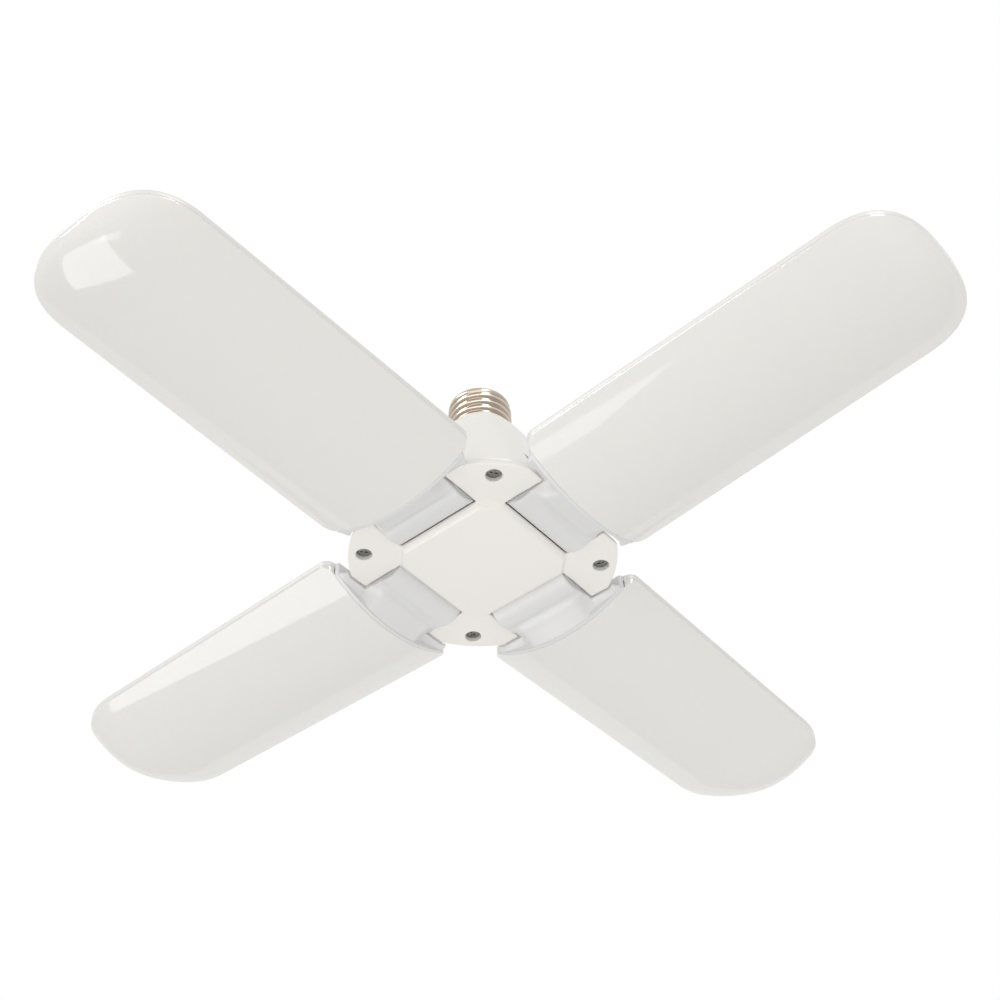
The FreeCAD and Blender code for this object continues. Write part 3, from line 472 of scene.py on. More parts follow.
# finishes of the CAD nodes that stay, by the start of their names
NODE_FINISH = {
    "hinge_pins": finish_material("pin_steel", (0.55, 0.55, 0.55), (0.45, 0.45, 0.45), (0.2, 0.35),
                                  Metallic=1.0),
    "inductor_winding": finish_material("inductor_copper", (0.65, 0.28, 0.12), (0.5, 0.2, 0.08), (0.25, 0.4),
                                        Metallic=1.0),
    "driver_screws": zinc, "board_screws": zinc, "rectifier_bridge": package, "driver_chip": package,
    "hub_leads": sheath, "blade_lead": sheath,
}
for start_of_name, *finish in (
        # painted shade: the nylon washers are greyed darker than white nylon, so that their edges below the
        # lobes pass for shade
        ("friction_washers", "washer_nylon", (0.52, 0.52, 0.53), (0.46, 0.46, 0.47), (0.4, 0.55)),
        ("driver_board", "driver_laminate", (0.07, 0.25, 0.12), (0.05, 0.19, 0.09), (0.3, 0.45)),
        ("bulk_capacitor", "capacitor_sleeve", (0.04, 0.05, 0.10), (0.03, 0.04, 0.07), (0.25, 0.4)),
        ("inductor_core", "inductor_ferrite", (0.08, 0.08, 0.08), (0.05, 0.05, 0.05), (0.6, 0.8)),
        ("film_capacitor", "film_case", (0.75, 0.52, 0.06), (0.66, 0.44, 0.05), (0.3, 0.45)),
        ("fuse_resistor", "resistor_coating", (0.22, 0.42, 0.38), (0.17, 0.34, 0.3), (0.4, 0.6)),
        ("varistor", "varistor_epoxy", (0.04, 0.12, 0.42), (0.03, 0.09, 0.33), (0.2, 0.35)),
        ("live_lead", "brown_insulation", (0.20, 0.09, 0.04), (0.15, 0.07, 0.03), (0.4, 0.55)),
        ("neutral_lead", "blue_insulation", (0.05, 0.13, 0.45), (0.04, 0.1, 0.36), (0.4, 0.55)),
        ("led_board", "board_white_mask", (0.78, 0.78, 0.77), (0.74, 0.74, 0.73), (0.3, 0.45)),
        ("leds", "led_phosphor", (0.82, 0.68, 0.22), (0.76, 0.62, 0.18), (0.3, 0.5))):
    NODE_FINISH[start_of_name] = finish_material(*finish)


def dress_cad_nodes():
    """Give each CAD node that stays its own finish."""
    for node, shown in frame["nodes"].items():
        kind = next((k for k in NODE_FINISH if node == k or node.startswith(k + "_")), None)
        if kind:
            for slot in shown.material_slots:
                slot.material = NODE_FINISH[kind]


# ---------------------------------------------------------------- mesh helpers
def mesh_from(name, points, faces):
    """Mesh from points and faces, with doubles merged and faces pointing outwards."""
    mesh = bpy.data.meshes.new(name)
    mesh.from_pydata(points, [], faces)
    work = bmesh.new()
    work.from_mesh(mesh)
    bmesh.ops.remove_doubles(work, verts=work.verts, dist=0.001)
    bmesh.ops.dissolve_degenerate(work, edges=work.edges, dist=0.0005)
    bmesh.ops.recalc_face_normals(work, faces=work.faces)
    work.to_mesh(mesh)
    work.free()
    return mesh


def between(rows, closed=True):
    """Points of several rows, and the faces between following rows."""
    width = len(rows[0])
    faces = []
    for r in range(len(rows) - 1):
        for c in range(width if closed else width - 1):
            near, far = r * width + c, r * width + (c + 1) % width
            faces.append((near, far, far + width, near + width))
    return [point for row in rows for point in row], faces


def skin(name, rows, caps=True):
    """Closed mesh through rings of points, one ring for each row."""
    points, faces = between(rows)
    if caps:
        width = len(rows[0])
        faces.append(tuple(range(width)))
        faces.append(tuple(range(len(points) - width, len(points))))
    return mesh_from(name, points, faces)


def ring_of(radius, height, steps, centre=(0, 0)):
    """Points of a level circle."""
    return [(centre[0] + radius * math.cos(2 * math.pi * step / steps),
             centre[1] + radius * math.sin(2 * math.pi * step / steps), height) for step in range(steps)]


def quarter_turn(steps):
    """Cosine and sine of even steps from 0 to 90 degrees."""
    angles = [math.pi / 2 * step / steps for step in range(steps + 1)]
    return [(math.cos(angle), math.sin(angle)) for angle in angles]


def turned_part(name, profile, steps=48, centre=(0, 0)):
    """Closed mesh of a profile of (radius, height) turned about an upright axis."""
    return skin(name, [ring_of(radius, height, steps, centre) for radius, height in profile])


def joined(name, meshes):
    """One mesh out of several."""
    work = bmesh.new()
    for mesh in meshes:
        work.from_mesh(mesh)
    whole = bpy.data.meshes.new(name)
    work.to_mesh(whole)
    work.free()
    return whole


def baked(thing):
    """Plain mesh of an object with its modifiers; the object is removed."""
    mesh = bpy.data.meshes.new_from_object(thing.evaluated_get(bpy.context.evaluated_depsgraph_get()))
    thing.modifiers.clear()
    bpy.data.objects.remove(thing)
    return mesh


def carved(mesh, cutter):
    """Mesh after a cut by another."""
    body = add_object("body_in_work", mesh, housing_white)
    tool = add_object("cutter", cutter, housing_white)
    change = body.modifiers.new("cut", "BOOLEAN")
    change.operation = "DIFFERENCE"
    change.solver = "EXACT"
    change.object = tool
    result = baked(body)
    bpy.data.objects.remove(tool)
    return result


def add_rounding(piece, width, segments, angle):
    """Round an object's edges that are sharper than an angle."""
    edge = piece.modifiers.new("rounding", "BEVEL")
    edge.width = width
    edge.segments = segments
    edge.limit_method = "ANGLE"
    edge.angle_limit = math.radians(angle)


def rounded(mesh, width):
    """Mesh with its sharp edges rounded."""
    piece = add_object("piece_in_work", mesh, housing_white)
    add_rounding(piece, width, 3, 35.0)
    return baked(piece)


def thickened(mesh, thickness, material):
    """Object of a sheet with its wall made inwards."""
    sheet = add_object("sheet_in_work", mesh, material)
    wall = sheet.modifiers.new("wall", "SOLIDIFY")
    wall.thickness = thickness
    wall.offset = -1.0
    return sheet


def smooth(mesh, angle):
    """Smooth shading, with sharp edges above an angle."""
    mesh.shade_smooth()
    mesh.set_sharp_from_angle(angle=math.radians(angle))


def block(name, low, high):
    """Box mesh between two corners, for cuts and tongues."""
    (u0, v0, h0), (u1, v1, h1) = low, high
    ring = [(u0, v0), (u1, v0), (u1, v1), (u0, v1)]
    return skin(name, [[(u, v, h) for u, v in ring] for h in (h0, h1)])


def hub_place():
    """From hub heights in millimetres to the row frame in metres."""
    return Matrix.Translation((0, 0, LOBE_FACE_Z * MM)) @ Matrix.Scale(MM, 4)


def blade_place(blade):
    """From the level arm frame in millimetres to the row frame in metres, at rest."""
    joint = next(j for j in frame["joints"] if j["child"] == "blade_" + blade)
    across = joint["axis"]
    tilt = UP_LIMIT + joint["range_deg"][0]
    hinge = Vector((HINGE_RADIUS, 0, HINGE_HEIGHT))
    tilted = Matrix.Rotation(math.radians(-tilt), 4, "Y")
    level = Matrix.Translation(hinge) @ tilted @ Matrix.Translation(-hinge)
    azimuth = math.atan2(-across[0], across[1])
    return hub_place() @ Matrix.Rotation(azimuth, 4, "Z") @ level


def show_piece(name, mesh, place, material, body, node):
    """Show a piece on its body, in place of its CAD node."""
    mesh.transform(place)
    piece = add_object(name, mesh, material)
    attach(piece, body)
    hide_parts(node)


def show_hub_piece(name, mesh, material, node, crease=40.0):
    """Show a hub piece in place of its CAD node."""
    smooth(mesh, crease)
    show_piece(name, mesh, hub_place(), material, "hub", node)


def show_blade_pieces(name, mesh, material, node, crease=40.0):
    """Show a level blade piece on each of the four blades, in place of its CAD node."""
    smooth(mesh, crease)
    for blade in BLADES:
        show_piece(name + "_" + blade, mesh.copy(), blade_place(blade), material, "blade_" + blade,
                   node + "_" + blade)


# ---------------------------------------------------------------- geometry nodes helpers
def geometry_tree(name, inputs):
    """Geometry node tree with named inputs."""
    return node_group("GeometryNodeTree", name, inputs, (("Geometry", "Geometry"),))


def end_tree(tree, geometry, finish, out):
    """End a tree with real geometry in its finish."""
    real = add_node(tree, "GeometryNodeRealizeInstances", Geometry=geometry)
    painted = add_node(tree, "GeometryNodeSetMaterial", Geometry=real.outputs[0], Material=finish)
    tree.links.new(painted.outputs[0], out.inputs[0])
    return tree


def grown(name, tree, values, start=None):
    """Plain mesh that a geometry node tree makes from named values."""
    thing = new_object(name, start or bpy.data.meshes.new(name))
    maker = thing.modifiers.new(name, "NODES")
    maker.node_group = tree
    items = tree.interface.items_tree
    identifiers = {item.name: item.identifier for item in items if item.in_out == "INPUT"}
    for socket, value in values.items():
        maker[identifiers[socket]] = value
    return baked(thing)


# ---------------------------------------------------------------- screw cap
def thread_tree():
    """Tree: a threaded sleeve, wound out of a flat grid by a helical rule."""
    tree, given, out = geometry_tree("screw_thread", (
        ("Mean Radius", "Float", 12.65), ("Thread Depth", "Float", 0.9), ("Pitch", "Float", 3.629),
        ("Height", "Float", 17.2), ("Base Height", "Float", 66.5), ("Run Out", "Float", 2.4),
        ("Finish", "Material", None)))
    grid = add_node(tree, "GeometryNodeMeshGrid", Size_X=2 * math.pi, Size_Y=given["Height"],
                    Vertices_X=SHELL_STEPS + 1, Vertices_Y=THREAD_ROWS)
    place = add_node(tree, "GeometryNodeInputPosition")
    parts = add_node(tree, "ShaderNodeSeparateXYZ", Vector=place.outputs[0])
    angle = parts.outputs["X"]
    rise = maths(tree, "ADD", parts.outputs["Y"], maths(tree, "MULTIPLY", given["Height"], 0.5))
    turns = maths(tree, "MULTIPLY", maths(tree, "DIVIDE", rise, given["Pitch"]), 2 * math.pi)
    wave = maths(tree, "COSINE", maths(tree, "SUBTRACT", angle, turns))
    to_end = maths(tree, "MINIMUM", rise, maths(tree, "SUBTRACT", given["Height"], rise))
    fade = maths(tree, "MINIMUM", maths(tree, "DIVIDE", to_end, given["Run Out"]), 1.0)
    swing = maths(tree, "MULTIPLY", maths(tree, "MULTIPLY", given["Thread Depth"], 0.5), fade)
    radius = maths(tree, "ADD", given["Mean Radius"], maths(tree, "MULTIPLY", swing, wave))
    spot = add_node(tree, "ShaderNodeCombineXYZ",
                    X=maths(tree, "MULTIPLY", radius, maths(tree, "COSINE", angle)),
                    Y=maths(tree, "MULTIPLY", radius, maths(tree, "SINE", angle)),
                    Z=maths(tree, "ADD", rise, given["Base Height"]))
    wound = add_node(tree, "GeometryNodeSetPosition", Geometry=grid.outputs["Mesh"], Position=spot.outputs[0])
    seam = add_node(tree, "GeometryNodeMergeByDistance", Geometry=wound.outputs[0], Distance=0.001)
    return end_tree(tree, seam.outputs[0], given["Finish"], out)


def make_screw_shell():
    """Threaded nickelled shell with a rolled-in lip."""
    mean = CREST_RADIUS - THREAD_DEPTH / 2
    threaded = SHELL_HEIGHT - SHELL_LIP_HEIGHT
    sleeve_mesh = grown("shell_thread", thread_tree(), {
        "Mean Radius": mean, "Thread Depth": THREAD_DEPTH, "Pitch": THREAD_PITCH, "Height": threaded,
        "Base Height": SHELL_BASE, "Run Out": THREAD_PITCH * THREAD_RUN_OUT, "Finish": nickel})
    rows = []
    for cosine, sine in quarter_turn(8):
        radius = mean - (mean - SHELL_LIP_RADIUS - SHELL_SHEET) * (1 - cosine)
        rows.append(ring_of(radius, SHELL_BASE + threaded + SHELL_LIP_HEIGHT * sine, SHELL_STEPS))
    whole = joined("nickel_screw_shell", [sleeve_mesh, skin("shell_lip", rows, caps=False)])
    work = bmesh.new()
    work.from_mesh(whole)
    bmesh.ops.remove_doubles(work, verts=work.verts, dist=0.02)
    bmesh.ops.recalc_face_normals(work, faces=work.faces)
    lowest = min(work.faces, key=lambda face: face.calc_center_median().z)
    centre = lowest.calc_center_median()
    if lowest.normal.dot(Vector((centre.x, centre.y, 0))) < 0:
        bmesh.ops.reverse_faces(work, faces=work.faces)
    work.to_mesh(whole)
    work.free()
    show_hub_piece("nickel_screw_shell", baked(thickened(whole, SHELL_SHEET, nickel)), nickel,
                   "screw_shell", crease=50)


def make_cap_end():
    """Black insulator and brass contact on top of the shell."""
    tip = -LOBE_FACE_Z
    shell_top = SHELL_BASE + SHELL_HEIGHT
    plug = SHELL_LIP_RADIUS - PLUG_FIT
    shoulder, shoulder_height = plug - PLUG_SHOULDER, shell_top + PLUG_SHOULDER
    cone_top = tip - CONTACT_HEIGHT
    cup = [(0.0, shell_top - PLUG_DEPTH), (plug, shell_top - PLUG_DEPTH), (plug, shell_top - 0.2),
           (shoulder, shoulder_height)]
    for step in range(1, 9):
        share = step / 8
        bulge = math.sin(math.pi / 2 * share) ** CONE_BULGE
        cup.append((shoulder - (shoulder - CONTACT_RADIUS) * share,
                    shoulder_height + (cone_top - shell_top - PLUG_SHOULDER) * bulge))
    cup.append((0.0, cone_top))
    show_hub_piece("black_cap_insulator", turned_part("black_cap_insulator", cup), black_phenolic,
                   "cap_insulator")
    button = [(0.0, cone_top - 0.2), (CONTACT_RADIUS, cone_top - 0.1),
              (CONTACT_RADIUS, cone_top + CONTACT_RIM)]
    for cosine, sine in quarter_turn(6)[1:]:
        button.append((CONTACT_FLAT + (CONTACT_RADIUS - CONTACT_FLAT) * cosine,
                       cone_top + CONTACT_RIM + (CONTACT_HEIGHT - CONTACT_RIM) * sine))
    button.append((0.0, tip))
    show_hub_piece("brass_contact_button", turned_part("brass_contact_button", button), contact_metal,
                   "centre_contact")


# ---------------------------------------------------------------- hub
def soft_least(first, second, blend):
    """Lesser of two numbers, with a rounded change from one to the other."""
    near = max(blend - abs(first - second), 0.0)
    return min(first, second) - near * near / (4 * blend)


def housing_radius(angle, height, inset):
    """Radius of the white body at an angle and a height: skirt, shoulder and four flats, blended."""
    skirt = SKIRT_RADIUS - height * SKIRT_SLOPE
    shoulder = RIM_RADIUS + (BODY_HEIGHT - height) * SHOULDER_SLOPE
    from_flat = abs(angle % (math.pi / 2) - math.pi / 4)
    flat = (FLAT_APOTHEM - height * SKIRT_SLOPE) / math.cos(from_flat)
    cone = soft_least(skirt, shoulder, SHOULDER_BLEND)
    return soft_least(cone, flat, FLAT_BLEND) - inset * WALL_SLANT


def housing_form(name, inset, heights):
    """Closed body of the housing, moved inwards by a wall and, at each height, by an edge's rounding."""
    rows = []
    for height, trim in heights:
        ring = []
        for step in range(HOUSING_STEPS):
            angle = 2 * math.pi * step / HOUSING_STEPS
            radius = housing_radius(angle, height, inset) - trim
            ring.append((radius * math.cos(angle), radius * math.sin(angle), height))
        rows.append(ring)
    return skin(name, rows)


def on_diagonals(name, mesh):
    """Four copies of an arm-frame mesh, one on each diagonal."""
    copies = []
    for quarter in range(4):
        copy = mesh.copy()
        copy.transform(Matrix.Rotation(math.radians(45 + 90 * quarter), 4, "Z"))
        copies.append(copy)
    return joined(name, copies)


def make_housing():
    """White conical body with its four hinge slots, hollow inside."""
    levels = [(SEAM_HEIGHT + rise, trim) for rise, trim in SEAM_ROUNDING]
    foot, run = SEAM_HEIGHT + SEAM_ROUNDING[-1][0], BODY_HEIGHT - SIDE_SHORTER - SEAM_HEIGHT
    levels += [(foot + run * step / SIDE_LEVELS, 0.0) for step in range(1, SIDE_LEVELS + 1)]
    levels += [(BODY_HEIGHT - drop, trim) for drop, trim in RIM_ROUNDING]
    outer = housing_form("housing_outside", 0.0, levels)
    room_levels = [(SEAM_HEIGHT - 1 + (BODY_HEIGHT - HOUSING_WALL - SEAM_HEIGHT) * step / 20, 0.0)
                   for step in range(21)]
    room = housing_form("housing_room", HOUSING_WALL, room_levels)
    pad = SLOT_HALF_WIDTH + CHEEK
    casing = on_diagonals("slot_casings", block("casing", (SLOT_INNER - CASING_WALL, -pad, -5),
                                                (SLOT_INNER + PAST, pad, SLOT_HEIGHT + SLOT_CEILING)))
    slots = on_diagonals("hinge_slots", block("slot", (SLOT_INNER, -SLOT_HALF_WIDTH, -5),
                                              (SLOT_INNER + PAST, SLOT_HALF_WIDTH, SLOT_HEIGHT)))
    body = carved(carved(outer, carved(room, casing)), slots)
    foot, top = BODY_HEIGHT - SPIGOT_SINK, BODY_HEIGHT + SPIGOT_HEIGHT
    spigot = turned_part("cap_spigot", [
        (SPIGOT_BORE, foot), (SPIGOT_RADIUS, foot), (SPIGOT_RADIUS, top - 0.4), (SPIGOT_RADIUS - 0.4, top),
        (SPIGOT_BORE, top), (SPIGOT_BORE, foot)])
    show_hub_piece("white_neck_housing", joined("white_neck_housing", [body, spigot]), housing_white,
                   "neck_housing", crease=32)


def cover_ring(height):
    """Outline of the cover's four lobes and square middle at a height above the lobes' face."""
    trim = max(height, 0.0) * SKIRT_SLOPE
    wall_u = PLATE_APOTHEM
    if height > 0:
        wall_u = min(wall_u, HINGE_RADIUS - math.sqrt(RELIEF_RADIUS ** 2 - (height - HINGE_HEIGHT) ** 2))
    side = SLOT_HALF_WIDTH
    root = math.sqrt(0.5)
    ring = []
    edge_sum = math.sqrt(2) * (FLAT_APOTHEM - trim)
    radius = SKIRT_RADIUS - trim
    apex = side * math.sqrt(2)
    corner = Vector(((apex + edge_sum) / 2, (edge_sum - apex) / 2))
    arc_y = (edge_sum - math.sqrt(2 * radius ** 2 - edge_sum ** 2)) / 2
    arc_end = math.asin(arc_y / radius)
    inner = Vector(((wall_u + side) * root, (wall_u - side) * root))
    arc = [Vector((radius * math.cos(arc_end * s), radius * math.sin(arc_end * s)))
           for s in (-1, -0.8, -0.6, -0.4, -0.2, 0, 0.2, 0.4, 0.6, 0.8, 1)]
    lobe = [Vector((inner.x, -inner.y)), Vector((corner.x, -corner.y))] + arc + [corner, inner]
    for quarter in range(4):
        turn = Matrix.Rotation(math.radians(90 * quarter), 2)
        ring += [turn @ point for point in lobe]
    return [(point.x, point.y, height) for point in ring]


def screw_spot(quarter):
    """Place of a cover screw in plan."""
    angle = math.radians(90 * quarter)
    return SCREW_CIRCLE * math.cos(angle), SCREW_CIRCLE * math.sin(angle)


def make_cover():
    """Bottom cover: raised square plate with a screwed lobe face at each corner."""
    heights = (0.0, 1.0, 2.0, 3.0, SEAM_HEIGHT - 0.05)
    rings = [cover_ring(height) for height in heights]
    width = len(rings[0])
    lobe_points = width // 4
    points, faces = between(rings)
    faces.append(tuple(range(len(points) - width, len(points))))
    for quarter in range(4):
        faces.append(tuple(range(quarter * lobe_points, (quarter + 1) * lobe_points)))
    base = len(points)
    face_corner = PLATE_CORNER - PLATE_BEVEL / 2
    face_side = (PLATE_APOTHEM - PLATE_BEVEL) * math.sqrt(2) - face_corner
    for quarter in range(4):
        turn = Matrix.Rotation(math.radians(90 * quarter), 2)
        for side in (-face_side, face_side):
            spot = turn @ Vector((face_corner, side))
            points.append((spot.x, spot.y, -PLATE_RISE))
    faces.append(tuple(range(base, base + 8)))
    for quarter in range(4):
        first, last = quarter * lobe_points, (quarter + 1) * lobe_points - 1
        low_first, low_last = base + 2 * quarter, base + 2 * quarter + 1
        faces.append((first, last, low_last, low_first))
        following = ((quarter + 1) % 4) * lobe_points
        faces.append((last, following, base + 2 * ((quarter + 1) % 4), low_last))
    mesh = rounded(mesh_from("cover_form", points, faces), COVER_EDGE)
    wells = []
    seat = SCREW_SINK + SCREW_HEAD_HEIGHT
    hole = SCREW_SHANK_RADIUS + 0.05
    for quarter in range(4):
        place = screw_spot(quarter)
        wells.append(turned_part("well", [
            (0.0, -1.0), (WELL_RADIUS + WELL_CHAMFER, -1.0), (WELL_RADIUS, 0.3), (WELL_RADIUS, seat),
            (hole, seat), (hole, SEAM_HEIGHT + 1), (0.0, SEAM_HEIGHT + 1)], SCREW_STEPS, place))
    show_hub_piece("white_bottom_cover", carved(mesh, joined("screw_wells", wells)), housing_white,
                   "bottom_cover", crease=30)


# ---------------------------------------------------------------- screws
def cross_screw(name, head_radius, head_height, shank_radius, shank_length):
    """Mesh of a cross-recessed screw: domed head upwards from height 0, shank below."""
    edge = head_height * HEAD_EDGE
    profile = [(0.0, -shank_length), (shank_radius * 0.7, -shank_length), (shank_radius, -shank_length + 0.8),
               (shank_radius, -0.1), (head_radius, -0.05), (head_radius, edge)]
    for step in range(1, 7):
        share = step / 6
        profile.append((head_radius * (1 - 0.9 * share),
                        edge + (head_height - edge) * math.sin(math.pi / 2 * share)))
    profile.append((0.0, head_height))
    head = turned_part(name, profile, SCREW_STEPS)
    reach, half, depth = head_radius * RECESS_REACH, head_radius * RECESS_HALF, head_height * RECESS_DEPTH
    for turn in (0, 90):
        rows = []
        for height, taper in zip((head_height + 0.5, head_height - depth), RECESS_TAPERS):
            end = reach * taper
            rows.append([(x, y, height) for x, y in ((-end, -half), (end, -half), (end, half), (-end, half))])
        slot = skin("recess", rows)
        slot.transform(Matrix.Rotation(math.radians(turn), 4, "Z"))
        head = carved(head, slot)
    return head


def screw_setting_tree():
    """Tree: a screw at every point, each turned by chance about its own axis."""
    tree, given, out = geometry_tree("screw_setting", (
        ("Points", "Geometry", None), ("Screw", "Object", None), ("Head Tilt", "Float", 0.0),
        ("Largest Turn", "Float", 1.5), ("Seed", "Int", 7), ("Finish", "Material", None)))
    model = add_node(tree, "GeometryNodeObjectInfo", Object=given["Screw"])
    chance = tree.nodes.new("FunctionNodeRandomValue")
    chance.data_type = "FLOAT"
    for name, source in (("Min", 0.0), ("Max", given["Largest Turn"]), ("Seed", given["Seed"])):
        feed(tree, next(s for s in chance.inputs if s.name == name and s.enabled), source)
    turn = next(s for s in chance.outputs if s.enabled)
    angles = add_node(tree, "ShaderNodeCombineXYZ", X=given["Head Tilt"], Z=turn)
    vertices = add_node(tree, "GeometryNodeMeshToPoints", Mesh=given["Points"])
    placed = add_node(tree, "GeometryNodeInstanceOnPoints", Points=vertices.outputs[0],
                      Instance=model.outputs["Geometry"], Rotation=angles.outputs[0])
    return end_tree(tree, placed.outputs[0], given["Finish"], out)


def set_screws(name, tree, screw, places, head_down):
    """Mesh of screws at several places, heads down or up."""
    points = bpy.data.meshes.new(name)
    points.from_pydata(places, [], [])
    model = add_object("screw_model", screw, zinc)
    result = grown(name, tree, {"Screw": model, "Head Tilt": math.pi if head_down else 0.0,
                                "Largest Turn": 1.5, "Seed": 7, "Finish": zinc}, points)
    bpy.data.objects.remove(model)
    return result


def make_screws():
    """Cover screws, and the two screws that hold each blade's back to its arm."""
    tree = screw_setting_tree()
    seat = SCREW_SINK + SCREW_HEAD_HEIGHT
    cover_screw = cross_screw("cover_screw", SCREW_HEAD_RADIUS - SCREW_HEAD_FIT,
                              SCREW_HEAD_HEIGHT - SCREW_HEAD_THINNER, SCREW_SHANK_RADIUS, SCREW_SHANK_LENGTH)
    places = [(*screw_spot(quarter), seat) for quarter in range(4)]
    group = set_screws("zinc_cover_screws", tree, cover_screw, places, True)
    show_hub_piece("zinc_cover_screws", group, zinc, "cover_screws", crease=35)
    arm_screw = cross_screw("arm_screw", ARM_HEAD_RADIUS, ARM_HEAD_HEIGHT, ARM_SCREW_RADIUS, ARM_SCREW_LENGTH)
    places = [(ARM_SCREW_U, side * ARM_SCREW_V, BACK_TOP) for side in (-1, 1)]
    group = set_screws("zinc_arm_screws", tree, arm_screw, places, False)
    show_blade_pieces("zinc_arm_screws", group, zinc, "arm_screws", crease=35)


# ---------------------------------------------------------------- blade pieces
def half_width_at(u):
    """Half the blade's width along its tapering part."""
    share = (u - BLADE_START) / (TIP_START - BLADE_START)
    return HALF_WIDTH_START + (HALF_WIDTH_TIP - HALF_WIDTH_START) * share


def tip_point(angle, inset=0.0):
    """Point of the tip's superellipse, from the straight side (0) to the end (90 degrees)."""
    reach = (TIP_LENGTH - inset) * math.sin(math.radians(angle)) ** (2 / TIP_POWER)
    half = (HALF_WIDTH_TIP - inset) * max(math.cos(math.radians(angle)), 0.0) ** (2 / TIP_POWER)
    return TIP_START + reach, half


def arch_height(v, half, rise):
    """Height of the arch's lower face at a distance from the centre line."""
    radius = (half ** 2 + rise ** 2) / (2 * rise)
    return RIM_HEIGHT - DIFFUSER_LIP - rise + radius - math.sqrt(radius ** 2 - v ** 2)


def blade_stations():
    """Place, half width and arch rise of each cross-section of a diffuser."""
    stations = []
    run_steps, tip_steps = 36, 40
    for cosine, sine in quarter_turn(8)[:-1]:
        u = BLADE_START + CORNER_RADIUS * (1 - cosine)
        stations.append((u, half_width_at(u) - CORNER_RADIUS * (1 - sine)))
    run_start = BLADE_START + CORNER_RADIUS
    for step in range(run_steps):
        u = run_start + (TIP_START - run_start) * step / run_steps
        stations.append((u, half_width_at(u)))
    stations += [tip_point(90 * step / tip_steps) for step in range(tip_steps + 1)]
    return stations


def diffuser_section(u, half):
    """Points of one cross-section, from the +v rim round the arch to the -v rim."""
    steps = 56
    lip = RIM_HEIGHT - DIFFUSER_LIP
    if half < 0.01:
        return [(u, 0.0, RIM_HEIGHT)] * (steps + 3)
    if u < TIP_START:
        full = half_width_at(u)
        rise = ARCH_START + (ARCH_TIP - ARCH_START) * (u - BLADE_START) / (TIP_START - BLADE_START)
    else:
        full, rise = half, ARCH_TIP * half / HALF_WIDTH_TIP
    points = [(u, half, RIM_HEIGHT)]
    for step in range(steps + 1):
        v = half * math.cos(math.pi * step / steps)
        points.append((u, v, min(lip, arch_height(v, full, rise))))
    points.append((u, -half, RIM_HEIGHT))
    return points


def make_diffusers():
    """Glossy milk-white arched covers."""
    rows = [diffuser_section(*station) for station in blade_stations()]
    mesh = mesh_from("diffuser_sheet", *between(rows, closed=False))
    middle = min(mesh.polygons, key=lambda face: face.center.z)
    if middle.normal.z > 0:
        mesh.flip_normals()
    sheet = thickened(mesh, DIFFUSER_WALL, milk)
    add_rounding(sheet, DIFFUSER_EDGE, 2, 60.0)
    show_blade_pieces("milk_diffuser", baked(sheet), milk, "diffuser", crease=60)


def blade_outline(inset, height):
    """Plan outline of a blade, moved inwards, as a ring at a height."""
    right = []
    for cosine, sine in quarter_turn(8):
        right.append((BLADE_START + inset + CORNER_RADIUS * (1 - cosine),
                      HALF_WIDTH_START - inset - CORNER_RADIUS * (1 - sine)))
    right += [tip_point(90 * step / 24, inset) for step in range(25)]
    ring = right + [(u, -v) for u, v in reversed(right[:-1])]
    return [(u, v, height) for u, v in ring]


def rib_tree():
    """Tree: a row of rounded cooling ribs."""
    tree, given, out = geometry_tree("cooling_ribs", (
        ("Rib Count", "Int", 4), ("Spacing", "Float", 12.0), ("Rib Width", "Float", 2.0),
        ("Rib Height", "Float", 1.6), ("Edge Radius", "Float", 0.5), ("Start", "Float", 64.0),
        ("End", "Float", 184.0), ("Base Height", "Float", 6.2), ("Finish", "Material", None)))
    low = add_node(tree, "ShaderNodeCombineXYZ", X=given["Start"])
    high = add_node(tree, "ShaderNodeCombineXYZ", X=given["End"])
    path = add_node(tree, "GeometryNodeCurvePrimitiveLine", Start=low.outputs[0], End=high.outputs[0])
    outline = add_node(tree, "GeometryNodeCurvePrimitiveQuadrilateral", Width=given["Rib Width"],
                       Height=given["Rib Height"])
    corners = tree.nodes.new("GeometryNodeFilletCurve")
    corners.mode = "POLY"
    feed_all(tree, corners, Curve=outline.outputs[0], Radius=given["Edge Radius"], Count=4)
    rib = add_node(tree, "GeometryNodeCurveToMesh", Curve=path.outputs[0], Profile_Curve=corners.outputs[0],
                   Fill_Caps=True)
    half_row = maths(tree, "MULTIPLY", maths(tree, "SUBTRACT", given["Rib Count"], 1.0), -0.5)
    first = add_node(tree, "ShaderNodeCombineXYZ", Y=maths(tree, "MULTIPLY", half_row, given["Spacing"]),
                     Z=given["Base Height"])
    step = add_node(tree, "ShaderNodeCombineXYZ", Y=given["Spacing"])
    row = add_node(tree, "GeometryNodeMeshLine", Count=given["Rib Count"], Start_Location=first.outputs[0],
                   Offset=step.outputs[0])
    placed = add_node(tree, "GeometryNodeInstanceOnPoints", Points=row.outputs[0], Instance=rib.outputs[0])
    return end_tree(tree, placed.outputs[0], given["Finish"], out)


